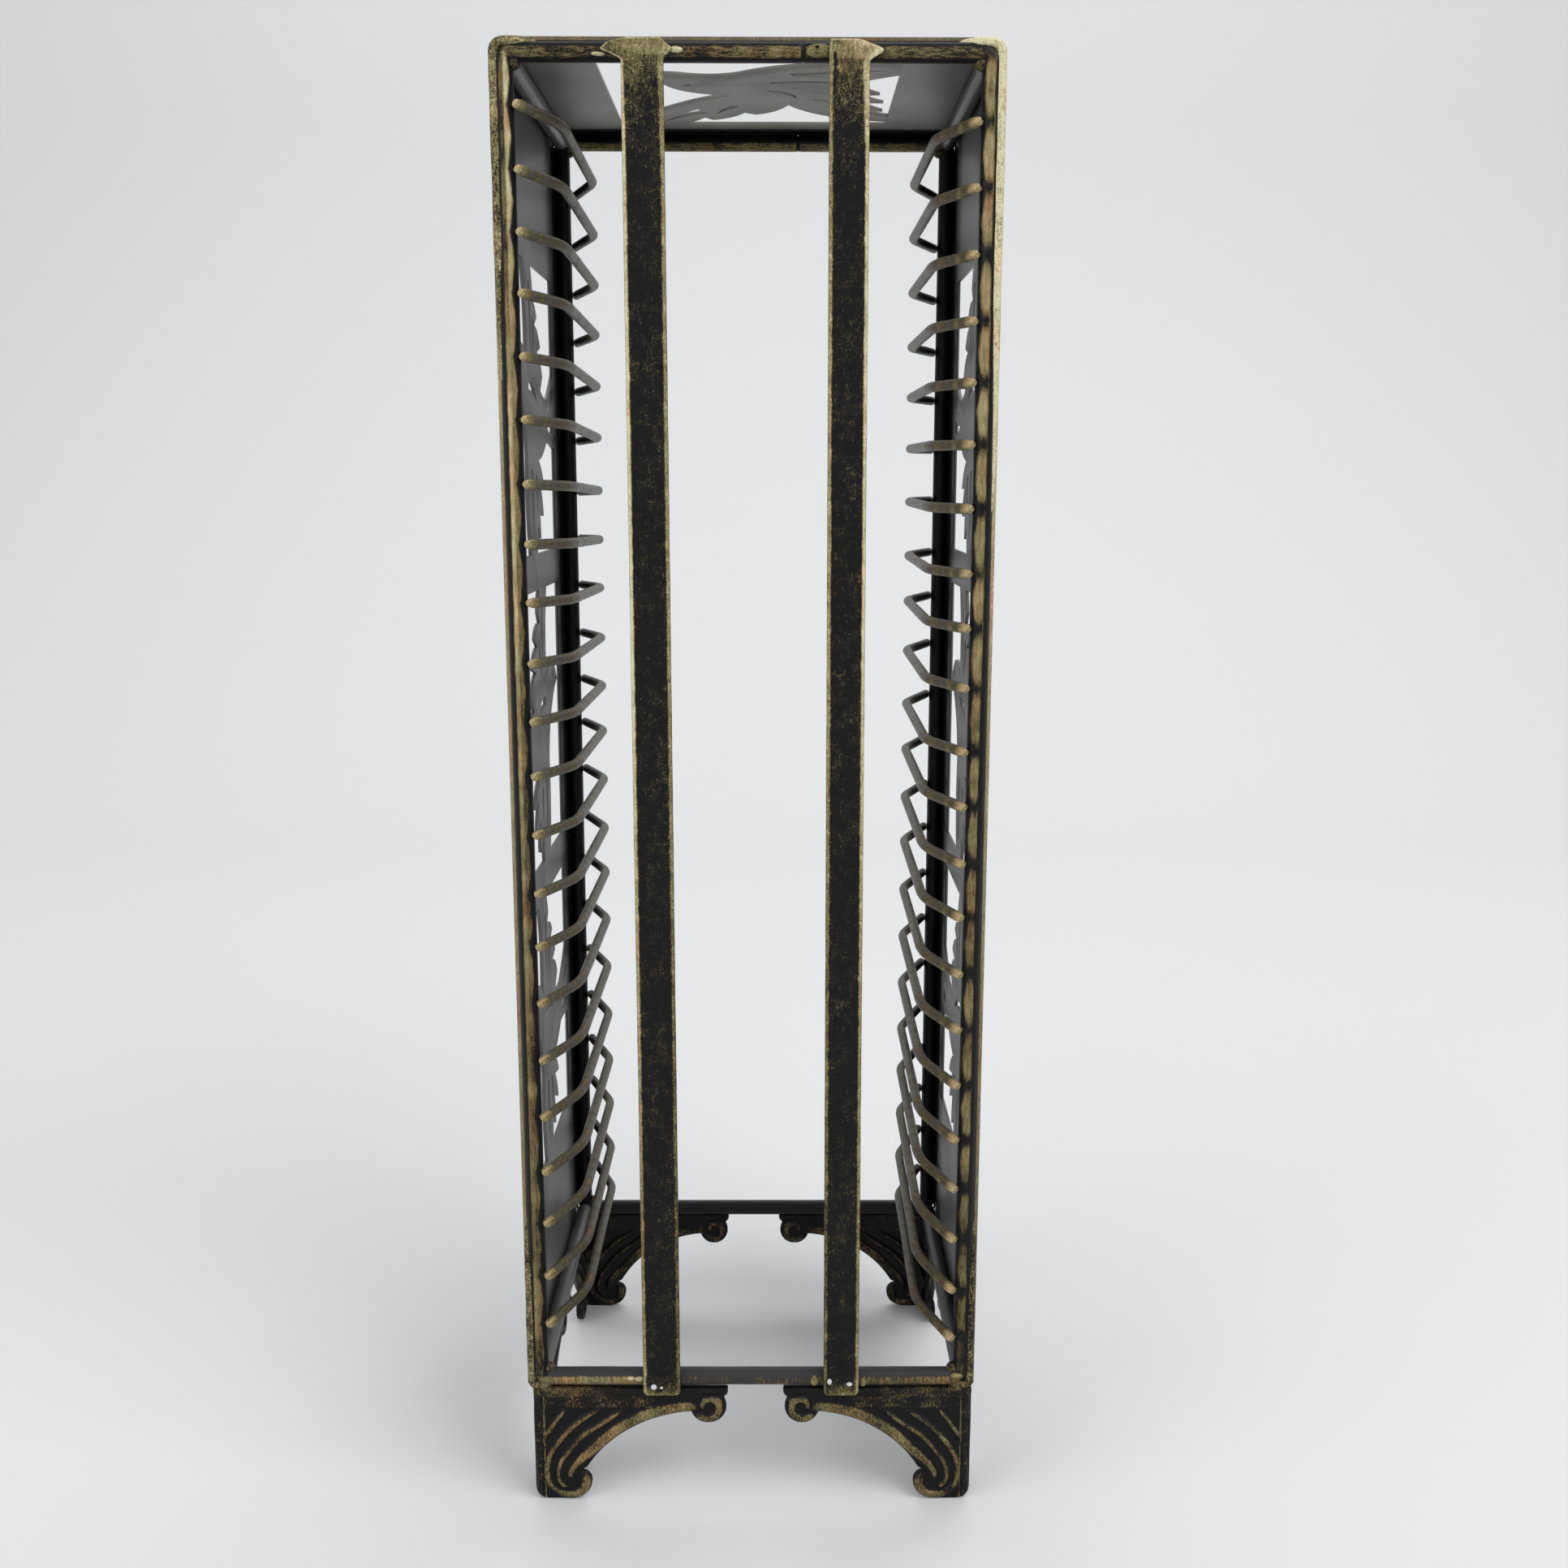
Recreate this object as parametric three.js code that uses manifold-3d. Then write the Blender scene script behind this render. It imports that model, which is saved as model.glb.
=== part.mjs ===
// Storage tower for disc cases: two welded ring frames joined by four depth rods, pierced sheet
// sides and top, 44 bent wires that carry the cases, two flat strips at the back and four cast
// corner feet. Millimetres, +Z up, origin at the bottom centre, -Y is the side with the strips.

import * as THREE from 'three';
import { mergeVertices } from 'three/addons/utils/BufferGeometryUtils.js';
import Module from 'manifold-3d';

const wasm = await Module();
wasm.setup();

// Overall sizes

const width = 163;
const height = 506.5;
const ringSpacing = 139.15;
const footHeight = 44.8;

// Stock and fit

const rodRadius = 3.175;
const sheet = 1.2;
const wireRadius = 1.8;
const clear = 0.3;
const overrun = 1;

// Ring frames: the cut that turns the rod's centre line at each corner

const cornerCut = 2;
const rodSides = 16;
const bendSteps = 5;

// Strips: their centre lines lean a little from top to bottom

const leftStripWidth = 13.4;
const rightStripWidth = 12.7;
const stripThickness = 2;
const stripLap = 1.3;
const stripChamfer = 2.6;
const stripFlare = 6.3;
const leftStripTop = -32.9;
const leftStripFoot = -32.2;
const rightStripTop = 31.8;
const rightStripFoot = 32.8;

// Pierced windows and the birds in them

const windowSize = 104;
const windowPitch = 117.5;
const windowLift = 4;
const topWindowWidth = 102;
const topWindowDepth = 105;
const eyeRadius = 1.5;
const birdSteps = 3;

// Wires

const wireCount = 22;
const wireInset = 14.9;
const wireBendRun = 24;
const wireBendRadius = 8;
const wireEndInset = 3.2;
const wireSides = 6;
const wireBendSteps = 2;
const leftWireDrop = 14;
const leftWireRise = 22.3;
const leftTiltTop = 4;
const leftTiltFoot = 1;
const rightWireDrop = 21.6;
const rightWireRise = 14.6;
const rightTilt = -1;

// Cast feet

const footGap = 5.5;
const footThickness = 3.6;
const ribRise = 0.7;
const ribWidth = 2.3;
const footRound = 4.8;
const toeCentre = 13.2;
const toeRadius = 6.2;
const neckLevel = 12.6;
const neckInset = 0.4;
const archInset = 10.5;
const archTop = 35.3;
const archEndInset = 13;
const scrollInset = 7.1;
const scrollLevel = 37.1;
const scrollRadius = 6.5;
const flangeHeight = 3.6;
const flangeNotch = 1.5;
const footSteps = 4;

// Places that follow from the sizes above

const rodX = width / 2 - sheet - clear - rodRadius;
const topZ = height - sheet - clear - rodRadius;
const bottomZ = footHeight + clear + rodRadius;
const depth = ringSpacing + 2 * rodRadius + clear + stripThickness;
const rearY = -depth / 2 + stripThickness + clear + rodRadius;
const frontY = rearY + ringSpacing;
const middleY = (rearY + frontY) / 2;
const rearFace = rearY - rodRadius;
const frontFace = frontY + rodRadius;
const panelFoot = bottomZ - rodRadius;
const panelTop = topZ - clear;
const footOuter = rodX + rodRadius;

// The wings of neighbouring feet nearly meet on the shorter side of the base

const wingLength = (Math.min(2 * footOuter, frontFace - rearFace) - footGap) / 2;
const neckU = toeCentre + toeRadius - neckInset;
const archCentre = wingLength - archInset;
const archEnd = wingLength - archEndInset;
const archSpan = archCentre - neckU;
const archRise = archTop - neckLevel;
const archRadius = (archSpan * archSpan + archRise * archRise) / (2 * archRise);
const scrollCentre = wingLength - scrollInset;

// Colours

const oldGold = { color: 0x766746, roughness: 0.45, metalness: 0.6 };
const blackened = { color: 0x3a372f, roughness: 0.42, metalness: 0.5 };
const innerGrey = { color: 0x4a4a49, roughness: 0.38, metalness: 0.55 };
const rubbed = { color: 0x77725c, roughness: 0.4, metalness: 0.6 };
const castGold = { color: 0x5b4f35, roughness: 0.5, metalness: 0.55 };

// Solids: from a closed geometry, and back to one

function solid(geometry) {
  const bare = geometry.clone();
  bare.deleteAttribute('normal');
  bare.deleteAttribute('uv');
  const merged = mergeVertices(bare);
  return new wasm.Manifold(new wasm.Mesh({
    numProp: 3,
    vertProperties: new Float32Array(merged.attributes.position.array),
    triVerts: new Uint32Array(merged.index.array),
  }));
}

function geometryOf(body) {
  const mesh = body.getMesh();
  const geometry = new THREE.BufferGeometry();
  geometry.setAttribute('position', new THREE.BufferAttribute(new Float32Array(mesh.vertProperties), 3));
  geometry.setIndex(new THREE.BufferAttribute(new Uint32Array(mesh.triVerts), 1));
  geometry.computeVertexNormals();
  return geometry;
}

// A flat outline made thick: 'xz' outlines run in depth, 'yz' outlines across, 'xy' outlines upwards

const alongX = new THREE.Vector3(1, 0, 0);
const alongY = new THREE.Vector3(0, 1, 0);
const alongZ = new THREE.Vector3(0, 0, 1);

function slab(points, plane, low, high) {
  const shape = new THREE.Shape(points);
  const geometry = new THREE.ExtrudeGeometry(shape, { depth: high - low, bevelEnabled: false });
  const place = new THREE.Matrix4();
  if (plane === 'xz') {
    place.makeBasis(alongX, alongZ, alongY.clone().negate()).setPosition(0, high, 0);
  } else if (plane === 'yz') {
    place.makeBasis(alongY, alongZ, alongX).setPosition(low, 0, 0);
  } else {
    place.makeTranslation(0, 0, low);
  }
  geometry.applyMatrix4(place);
  return geometry;
}

// A round bar along a flat path, with a mitred section at every point; normal is the path's plane

function bar(points, radius, sides, normal, closed) {
  const positions = [];
  const index = [];
  const count = points.length;
  points.forEach((point, i) => {
    const before = closed || i > 0 ? points[(i + count - 1) % count] : null;
    const after = closed || i < count - 1 ? points[(i + 1) % count] : null;
    const arriving = before ? point.clone().sub(before).normalize() : null;
    const leaving = after ? after.clone().sub(point).normalize() : arriving;
    const tangent = leaving.clone().add(arriving ?? leaving).normalize();
    const across = tangent.clone().cross(normal).multiplyScalar(radius / tangent.dot(leaving));
    const up = normal.clone().multiplyScalar(radius);
    for (let k = 0; k < sides; k += 1) {
      const angle = (2 * Math.PI * k) / sides;
      const vertex = point.clone().addScaledVector(up, Math.cos(angle));
      vertex.addScaledVector(across, Math.sin(angle));
      positions.push(vertex.x, vertex.y, vertex.z);
    }
  });
  const runs = closed ? count : count - 1;
  for (let i = 0; i < runs; i += 1) {
    const here = i * sides;
    const next = ((i + 1) % count) * sides;
    for (let k = 0; k < sides; k += 1) {
      const turn = (k + 1) % sides;
      index.push(here + k, here + turn, next + turn, here + k, next + turn, next + k);
    }
  }
  if (!closed) {
    const last = (count - 1) * sides;
    for (let k = 1; k < sides - 1; k += 1) {
      index.push(0, k + 1, k, last, last + k, last + k + 1);
    }
  }
  const geometry = new THREE.BufferGeometry();
  geometry.setAttribute('position', new THREE.Float32BufferAttribute(positions, 3));
  geometry.setIndex(index);
  geometry.computeVertexNormals();
  return geometry;
}

// Ring frame: two posts and two rails, the rod turned tightly at the corners

function ringFrame(y) {
  const corners = [[rodX, bottomZ], [rodX, topZ], [-rodX, topZ], [-rodX, bottomZ]];
  const points = [];
  corners.forEach(([x, z]) => {
    const inX = x - Math.sign(x) * cornerCut;
    const inZ = z === topZ ? z - cornerCut : z + cornerCut;
    const onPost = new THREE.Vector3(x, y, inZ);
    const onRail = new THREE.Vector3(inX, y, z);
    const upwards = x > 0;
    const atTop = z === topZ;
    points.push(...(upwards === atTop ? [onPost, onRail] : [onRail, onPost]));
  });
  return bar(points, rodRadius, rodSides, alongY, true);
}

// Depth rod between the rings' corners

function depthRod(x, z) {
  const reach = rodRadius + clear;
  const ends = [new THREE.Vector3(x, rearY + reach, z), new THREE.Vector3(x, frontY - reach, z)];
  return bar(ends, rodRadius, rodSides, alongZ, false);
}

// Drawn outlines: a pair is a corner, four numbers are a curve's control point and its end

function outline(table, halfU, halfW) {
  const path = new THREE.Path();
  table.forEach((entry, i) => {
    const [a, b, c, d] = entry;
    if (i === 0) {
      path.moveTo(a * halfU, b * halfW);
    } else if (entry.length === 2) {
      path.lineTo(a * halfU, b * halfW);
    } else {
      path.quadraticCurveTo(a * halfU, b * halfW, c * halfU, d * halfW);
    }
  });
  return path.getPoints(birdSteps);
}

// The bird of the side windows, in shares of half the window: beak, near wing at the top edge,
// tail at the far edge, low wing at the bottom edge

const sideBirdShares = [
  [-0.84, 0.26], [-0.7, 0.43, -0.54, 0.44], [-0.36, 0.43, -0.3, 0.3], [-0.22, 0.7, -0.42, 1.06],
  [-0.08, 1.06], [0.02, 0.98, 0.06, 0.84], [-0.02, 0.76], [0.16, 0.78, 0.24, 0.66], [0.12, 0.6],
  [0.28, 0.6, 0.38, 0.46], [0.22, 0.42], [0.38, 0.4, 0.46, 0.26], [0.34, 0.16],
  [0.56, 0.08, 0.68, 0.12], [0.86, 0.2, 1.06, 0.36], [1.06, -0.26], [0.8, -0.2, 0.6, -0.2],
  [0.4, -0.32, 0.18, -0.34], [0.34, -0.4, 0.42, -0.54], [0.22, -0.5], [0.34, -0.62, 0.36, -0.74],
  [0.16, -0.66], [0.22, -0.8, 0.2, -0.9], [0.06, -0.8], [0.06, -0.94, 0, -1.06], [-0.26, -1.06],
  [-0.4, -0.7, -0.34, -0.3], [-0.38, -0.04, -0.56, 0.1], [-0.66, 0.2, -0.84, 0.26],
];
const sideCutShares = [
  [[-0.22, 0.2], [0.02, 0.22, 0.16, 0.06], [0.04, 0.14, -0.22, 0.14]],
  [[-0.16, 0.86], [-0.1, 0.6, -0.12, 0.36], [-0.04, 0.6, -0.1, 0.88]],
  [[0.02, 0.66], [0, 0.5, -0.04, 0.36], [0.08, 0.48, 0.08, 0.62]],
  [[0.94, 0.22], [0.78, 0.06, 0.62, 0.02], [0.8, 0, 0.94, 0.14]],
  [[0.94, -0.02], [0.78, -0.08, 0.62, -0.08], [0.8, -0.16, 0.94, -0.12]],
  [[-0.2, -0.4], [-0.22, -0.66, -0.14, -0.9], [-0.12, -0.66, -0.12, -0.42]],
  [[0, -0.44], [0.04, -0.56, 0.04, -0.7], [0.1, -0.58, 0.08, -0.46]],
];
const sideEyeShares = [-0.62, 0.32];

// The bird of the top window: head to the left, one wing to the right edge, one to the far corner

const topBirdShares = [
  [-0.82, -0.42], [-0.62, -0.56, -0.42, -0.46], [-0.2, -0.38, -0.02, -0.54], [0.3, -0.76, 0.6, -0.72],
  [0.84, -0.72, 1.06, -0.84], [1.06, -0.52], [0.9, -0.44, 0.74, -0.3], [0.76, -0.06, 0.9, 0.06],
  [0.76, 0.08], [0.82, 0.2, 0.94, 0.3], [0.78, 0.3], [0.84, 0.44, 0.95, 0.56], [0.78, 0.52],
  [0.9, 0.68, 1.06, 0.74], [1.06, 0.9], [0.72, 0.84, 0.52, 0.68], [0.36, 0.56, 0.26, 0.36],
  [0.18, 0.6, 0.02, 0.66], [-0.06, 0.6], [-0.14, 0.78, -0.3, 0.84], [-0.36, 0.76],
  [-0.44, 0.94, -0.68, 1.06], [-0.9, 1.06], [-0.84, 0.72, -0.58, 0.44], [-0.36, 0.18, -0.14, 0.08],
  [-0.5, 0.04, -0.6, -0.24], [-0.7, -0.36, -0.82, -0.42],
];
const topCutShares = [
  [[0.12, -0.1], [0.3, -0.06, 0.32, 0.16], [0.25, 0, 0.1, -0.05]],
  [[0.12, -0.3], [0.4, -0.38, 0.66, -0.28], [0.4, -0.32, 0.14, -0.26]],
  [[0.26, -0.54], [0.56, -0.62, 0.92, -0.62], [0.6, -0.56, 0.28, -0.48]],
  [[0.44, 0.16], [0.6, 0.18, 0.7, 0.34], [0.56, 0.26, 0.44, 0.22]],
  [[-0.34, 0.6], [-0.52, 0.7, -0.68, 0.92], [-0.56, 0.68, -0.4, 0.5]],
  [[-0.1, 0.42], [-0.2, 0.5, -0.26, 0.64], [-0.24, 0.48, -0.14, 0.36]],
];
const topEyeShares = [-0.44, -0.22];

// The open part of a window: the window less its bird, whose cuts and eye stay open

function pierced(shares, plane, low, high) {
  const [centreU, centreW] = shares.centre;
  const at = (points) => points.map((p) => new THREE.Vector2(centreU + p.x, centreW + p.y));
  const draw = (table) => at(outline(table, shares.halfU, shares.halfW));
  const frame = [[-1, -1], [1, -1], [1, 1], [-1, 1]];
  const eyeU = shares.eye[0] * shares.halfU;
  const eyeW = shares.eye[1] * shares.halfW;
  const eye = new THREE.Path().absarc(eyeU, eyeW, eyeRadius, 0, 2 * Math.PI, false);
  const open = solid(slab(draw(frame), plane, low - overrun, high + overrun));
  const reach = 2 * overrun;
  const cutReach = reach + overrun;
  let bird = solid(slab(draw(shares.bird), plane, low - reach, high + reach));
  shares.cuts.forEach((cut) => {
    bird = bird.subtract(solid(slab(draw(cut), plane, low - cutReach, high + cutReach)));
  });
  const eyePoints = at(eye.getPoints(birdSteps + 1).slice(1));
  const eyeHole = slab(eyePoints, plane, low - cutReach, high + cutReach);
  return open.subtract(bird.subtract(solid(eyeHole)));
}

// Side panel: sheet outside the posts, with three windows one above the other

function sidePanel(side) {
  const outer = (side * width) / 2;
  const inner = outer - side * sheet;
  const low = Math.min(outer, inner);
  const high = Math.max(outer, inner);
  const edge = [[rearY, panelFoot], [frontY, panelFoot], [frontY, panelTop], [rearY, panelTop]];
  let panel = solid(slab(edge.map(([y, z]) => new THREE.Vector2(y, z)), 'yz', low, high));
  const middleZ = (panelFoot + panelTop) / 2 + windowLift;
  [1, 0, -1].forEach((step) => {
    const facing = step === 0 ? -1 : 1;
    panel = panel.subtract(pierced({
      centre: [middleY, middleZ + step * windowPitch],
      halfU: (facing * windowSize) / 2,
      halfW: windowSize / 2,
      bird: sideBirdShares,
      cuts: sideCutShares,
      eye: sideEyeShares,
    }, 'yz', low, high));
  });
  return geometryOf(panel);
}

// Top panel: sheet over the rods, its side edges rolled down round the corner rods

function topPanel() {
  const profile = new THREE.Path();
  const inner = rodRadius + clear;
  const outer = inner + sheet;
  profile.moveTo(-rodX - outer, topZ);
  profile.absarc(-rodX, topZ, outer, Math.PI, Math.PI / 2, true);
  profile.absarc(rodX, topZ, outer, Math.PI / 2, 0, true);
  profile.absarc(rodX, topZ, inner, 0, Math.PI / 2, false);
  profile.absarc(-rodX, topZ, inner, Math.PI / 2, Math.PI, false);
  const sheetBody = solid(slab(profile.getPoints(bendSteps), 'xz', rearY, frontY));
  return geometryOf(sheetBody.subtract(pierced({
    centre: [0, middleY],
    halfU: topWindowWidth / 2,
    halfW: topWindowDepth / 2,
    bird: topBirdShares,
    cuts: topCutShares,
    eye: topEyeShares,
  }, 'xy', height - sheet, height)));
}

// Strips: flat bar over the rear ring, flared where it was melted onto the top rail. The flares
// are drawn in shares of half the strip's width and of the flare's height

const leftFlareShares = [
  [1, 0], [1.08, 0.22], [1.22, 0.5], [0.96, 0.76], [0.68, 1], [-0.58, 0.97], [-1.34, 0.82], [-1.72, 0.52],
  [-1.36, 0.24], [-1, 0],
];
const rightFlareShares = [
  [1, 0], [1.2, 0.14], [1.46, 0.3], [1.54, 0.5], [1.24, 0.76], [0.96, 0.94], [-0.86, 0.95], [-1, 0.9], [-1, 0],
];

function strip(topX, footX, stripWidth, flare) {
  const half = stripWidth / 2;
  const footZ = footHeight - stripLap;
  const flareZ = topZ + rodRadius - stripFlare;
  const points = [
    new THREE.Vector2(footX - half, footZ + stripChamfer),
    new THREE.Vector2(footX - half + stripChamfer, footZ),
    new THREE.Vector2(footX + half - stripChamfer, footZ),
    new THREE.Vector2(footX + half, footZ + stripChamfer),
    ...flare.map(([u, w]) => new THREE.Vector2(topX + u * half, flareZ + w * stripFlare)),
  ];
  const back = rearFace - clear;
  return slab(points, 'xz', back - stripThickness, back);
}

// Wires: each runs straight from a post, turns inwards parallel to the side, and returns. The
// rows were spaced by eye, so each wire is off the even spacing by a share of it

const leftWireShares = [
  -0.1, -0.08, -0.03, 0.02, 0.03, 0.03, -0.01, 0.01, 0.04, 0.02, 0.03, 0.09, 0.07, 0.03, 0.08, 0.05, 0.01,
  -0.05, -0.08, -0.06, -0.08, -0.02,
];
const rightWireShares = [
  0.04, 0.04, 0.02, -0.01, 0.02, 0.03, -0.01, -0.08, 0.01, 0, -0.09, -0.04, -0.04, 0.01, -0.02, -0.03, -0.06,
  -0.08, -0.01, 0.02, 0.04, 0.1,
];

function wire(side, level, tilt) {
  const apart = rodRadius + wireRadius + clear;
  const startX = rodX - Math.sqrt(apart * apart - wireEndInset * wireEndInset);
  const runX = rodX - wireInset;
  const startY = rearY - wireEndInset;
  const bendY = rearY + wireBendRun;
  const slant = Math.atan2(startX - runX, bendY - startY);
  const setback = wireBendRadius * Math.tan(slant / 2);
  const plan = [[startX, startY]];
  for (let k = 0; k <= wireBendSteps; k += 1) {
    const angle = slant * (1 - k / wireBendSteps);
    const x = runX + wireBendRadius * (1 - Math.cos(angle));
    const y = bendY + setback - wireBendRadius * Math.sin(angle);
    plan.push([x, y]);
  }
  const mirrored = plan.map(([x, y]) => [x, 2 * middleY - y]).reverse();
  const heightAt = (y) => level - (tilt * (y - rearY)) / ringSpacing;
  const points = [...plan, ...mirrored].map(([x, y]) => new THREE.Vector3(side * x, y, heightAt(y)));
  const normal = new THREE.Vector3(0, tilt / ringSpacing, 1).normalize();
  return bar(points, wireRadius, wireSides, normal, false);
}

// Foot wings: outline from the outer edge inwards, then ribs in shares of the wing's length and height

function wingOutline() {
  const path = new THREE.Path();
  const archLevel = archTop - archRadius;
  const neckAngle = Math.atan2(neckLevel - archLevel, neckU - archCentre);
  const archEndAngle = Math.acos((archEnd - archCentre) / archRadius);
  const toeAngle = Math.PI / 3.2;
  const scrollStart = Math.PI * 1.11;
  const scrollEnd = Math.PI * 2.16;
  path.moveTo(0, footHeight);
  path.lineTo(0, footRound);
  path.quadraticCurveTo(0, 0, footRound, 0);
  path.absarc(toeCentre, toeRadius, toeRadius, -Math.PI / 2, toeAngle, false);
  path.absarc(archCentre, archLevel, archRadius, neckAngle, archEndAngle, true);
  path.absarc(scrollCentre, scrollLevel, scrollRadius, scrollStart, scrollEnd, false);
  path.lineTo(wingLength - flangeNotch, footHeight - flangeHeight);
  path.quadraticCurveTo(wingLength, footHeight - flangeHeight, wingLength, footHeight - flangeHeight / 2);
  path.lineTo(wingLength, footHeight);
  return path.getPoints(footSteps);
}

const ribShares = [
  [[0.79, 0.83], [0.6, 0.79], [0.47, 0.715], [0.365, 0.595], [0.28, 0.455], [0.205, 0.33], [0.178, 0.26]],
  [[0.495, 0.84], [0.324, 0.666], [0.238, 0.57], [0.172, 0.454], [0.139, 0.33], [0.132, 0.24], [0.15, 0.17],
    [0.19, 0.15]],
  [[0.356, 0.833], [0.184, 0.652], [0.125, 0.535], [0.095, 0.418], [0.086, 0.278], [0.093, 0.16],
    [0.125, 0.085], [0.185, 0.05], [0.24, 0.09], [0.256, 0.165], [0.224, 0.235]],
  [[0.165, 0.8], [0.125, 0.745], [0.088, 0.69]],
];

function ribbon(table) {
  const curve = new THREE.SplineCurve(table.map(([u, w]) => new THREE.Vector2(u * wingLength, w * footHeight)));
  const steps = table.length + 1;
  const left = [];
  const right = [];
  for (let k = 0; k <= steps; k += 1) {
    const point = curve.getPoint(k / steps);
    const tangent = curve.getTangent(k / steps);
    const half = ribWidth / 2;
    left.push(new THREE.Vector2(point.x - tangent.y * half, point.y + tangent.x * half));
    right.push(new THREE.Vector2(point.x + tangent.y * half, point.y - tangent.x * half));
  }
  return [...left, ...right.reverse()];
}

function knob(u, w, radius) {
  return new THREE.Path().absarc(u, w, radius, 0, 2 * Math.PI, false).getPoints(footSteps + 1).slice(1);
}

// Foot: two equal wings at a right angle, both faces ribbed, the ribs curled on the toe, a knob on the scroll

function foot(sideX, outerY, inwards) {
  const band = ribWidth / 2;
  const low = footHeight - flangeHeight;
  const high = footHeight - band;
  const edge = wingLength - flangeHeight;
  const flange = [[band, low], [edge, low], [edge, high], [band, high]];
  const raised = [
    ...ribShares.map(ribbon),
    flange.map(([u, w]) => new THREE.Vector2(u, w)),
    knob(scrollCentre, scrollLevel, scrollRadius - ribRise),
  ];
  const wings = [
    { plane: 'xz', at: (u) => sideX * (footOuter - u), outer: outerY, into: inwards },
    { plane: 'yz', at: (u) => outerY + inwards * u, outer: sideX * footOuter, into: -sideX },
  ];
  let body = null;
  wings.forEach(({ plane, at, outer, into }) => {
    const place = (points) => points.map((p) => new THREE.Vector2(at(p.x), p.y));
    const thick = (points, from, to) => {
      const a = outer + into * from;
      const b = outer + into * to;
      return solid(slab(place(points), plane, Math.min(a, b), Math.max(a, b)));
    };
    const plate = thick(wingOutline(), ribRise, footThickness - ribRise);
    body = body ? body.add(plate) : plate;
    raised.forEach((points) => {
      body = body.add(thick(points, 0, footThickness));
    });
  });
  return geometryOf(body);
}

// Assembly

const tower = new THREE.Group();

function place(name, geometry, look) {
  const mesh = new THREE.Mesh(geometry, new THREE.MeshStandardMaterial(look));
  mesh.name = name;
  tower.add(mesh);
}

place('rear_frame', ringFrame(rearY), oldGold);
place('front_frame', ringFrame(frontY), blackened);
place('top_rod_left', depthRod(-rodX, topZ), innerGrey);
place('top_rod_right', depthRod(rodX, topZ), innerGrey);
place('bottom_rod_left', depthRod(-rodX, bottomZ), innerGrey);
place('bottom_rod_right', depthRod(rodX, bottomZ), innerGrey);
place('left_panel', sidePanel(-1), innerGrey);
place('right_panel', sidePanel(1), innerGrey);
place('top_panel', topPanel(), innerGrey);
place('rear_strip_left', strip(leftStripTop, leftStripFoot, leftStripWidth, leftFlareShares), blackened);
place('rear_strip_right', strip(rightStripTop, rightStripFoot, rightStripWidth, rightFlareShares), blackened);

for (let i = 0; i < wireCount; i += 1) {
  const share = i / (wireCount - 1);
  const number = String(i + 1).padStart(2, '0');
  const leftPitch = (topZ - leftWireDrop - bottomZ - leftWireRise) / (wireCount - 1);
  const rightPitch = (topZ - rightWireDrop - bottomZ - rightWireRise) / (wireCount - 1);
  const leftLevel = topZ - leftWireDrop - (i - leftWireShares[i]) * leftPitch;
  const rightLevel = topZ - rightWireDrop - (i - rightWireShares[i]) * rightPitch;
  const leftTilt = leftTiltTop + (leftTiltFoot - leftTiltTop) * share;
  place(`wire_left_${number}`, wire(-1, leftLevel, leftTilt), rubbed);
  place(`wire_right_${number}`, wire(1, rightLevel, rightTilt), rubbed);
}

place('foot_rear_left', foot(-1, rearFace, 1), castGold);
place('foot_rear_right', foot(1, rearFace, 1), castGold);
place('foot_front_left', foot(-1, frontFace, -1), castGold);
place('foot_front_right', foot(1, frontFace, -1), castGold);

export default tower;
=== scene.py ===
# %% [markdown]
# # A storage tower for disc cases
#
# The tower is a welded piece of ironwork: two rod rings stand one behind the other, four short rods
# join their corners, and pierced sheets close the sides and the top. Bent wires reach in from the
# posts to carry the cases, two flat strips close the back, and cast feet carry it all. The finish is
# black paint with old gold brushed over it by hand. This lesson dresses the plain CAD model in
# these pieces and finishes.

# %% Load the CAD frame
import math

import bmesh
import bpy
from mathutils import Matrix, Vector, noise


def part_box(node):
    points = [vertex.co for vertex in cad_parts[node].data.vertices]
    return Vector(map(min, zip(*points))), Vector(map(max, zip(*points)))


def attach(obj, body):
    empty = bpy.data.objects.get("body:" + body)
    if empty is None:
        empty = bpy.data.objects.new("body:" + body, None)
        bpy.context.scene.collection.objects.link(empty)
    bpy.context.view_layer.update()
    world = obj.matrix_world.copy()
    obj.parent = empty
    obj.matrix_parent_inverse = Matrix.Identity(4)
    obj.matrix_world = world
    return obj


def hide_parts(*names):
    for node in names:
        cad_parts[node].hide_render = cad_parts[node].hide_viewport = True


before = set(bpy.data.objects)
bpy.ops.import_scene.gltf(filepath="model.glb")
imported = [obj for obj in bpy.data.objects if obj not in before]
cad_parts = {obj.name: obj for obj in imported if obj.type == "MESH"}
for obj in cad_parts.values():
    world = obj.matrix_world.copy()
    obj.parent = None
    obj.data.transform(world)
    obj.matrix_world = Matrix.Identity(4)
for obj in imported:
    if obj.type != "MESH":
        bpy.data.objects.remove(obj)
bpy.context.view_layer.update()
MM = 0.001
print("nodes in the frame:", len(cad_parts))

# %% [markdown]
# The main measures are taken from the CAD model, so a new size there carries through to here. The
# rings give the rod's radius and the places of posts and rails, and each wire its level and slope.

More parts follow.
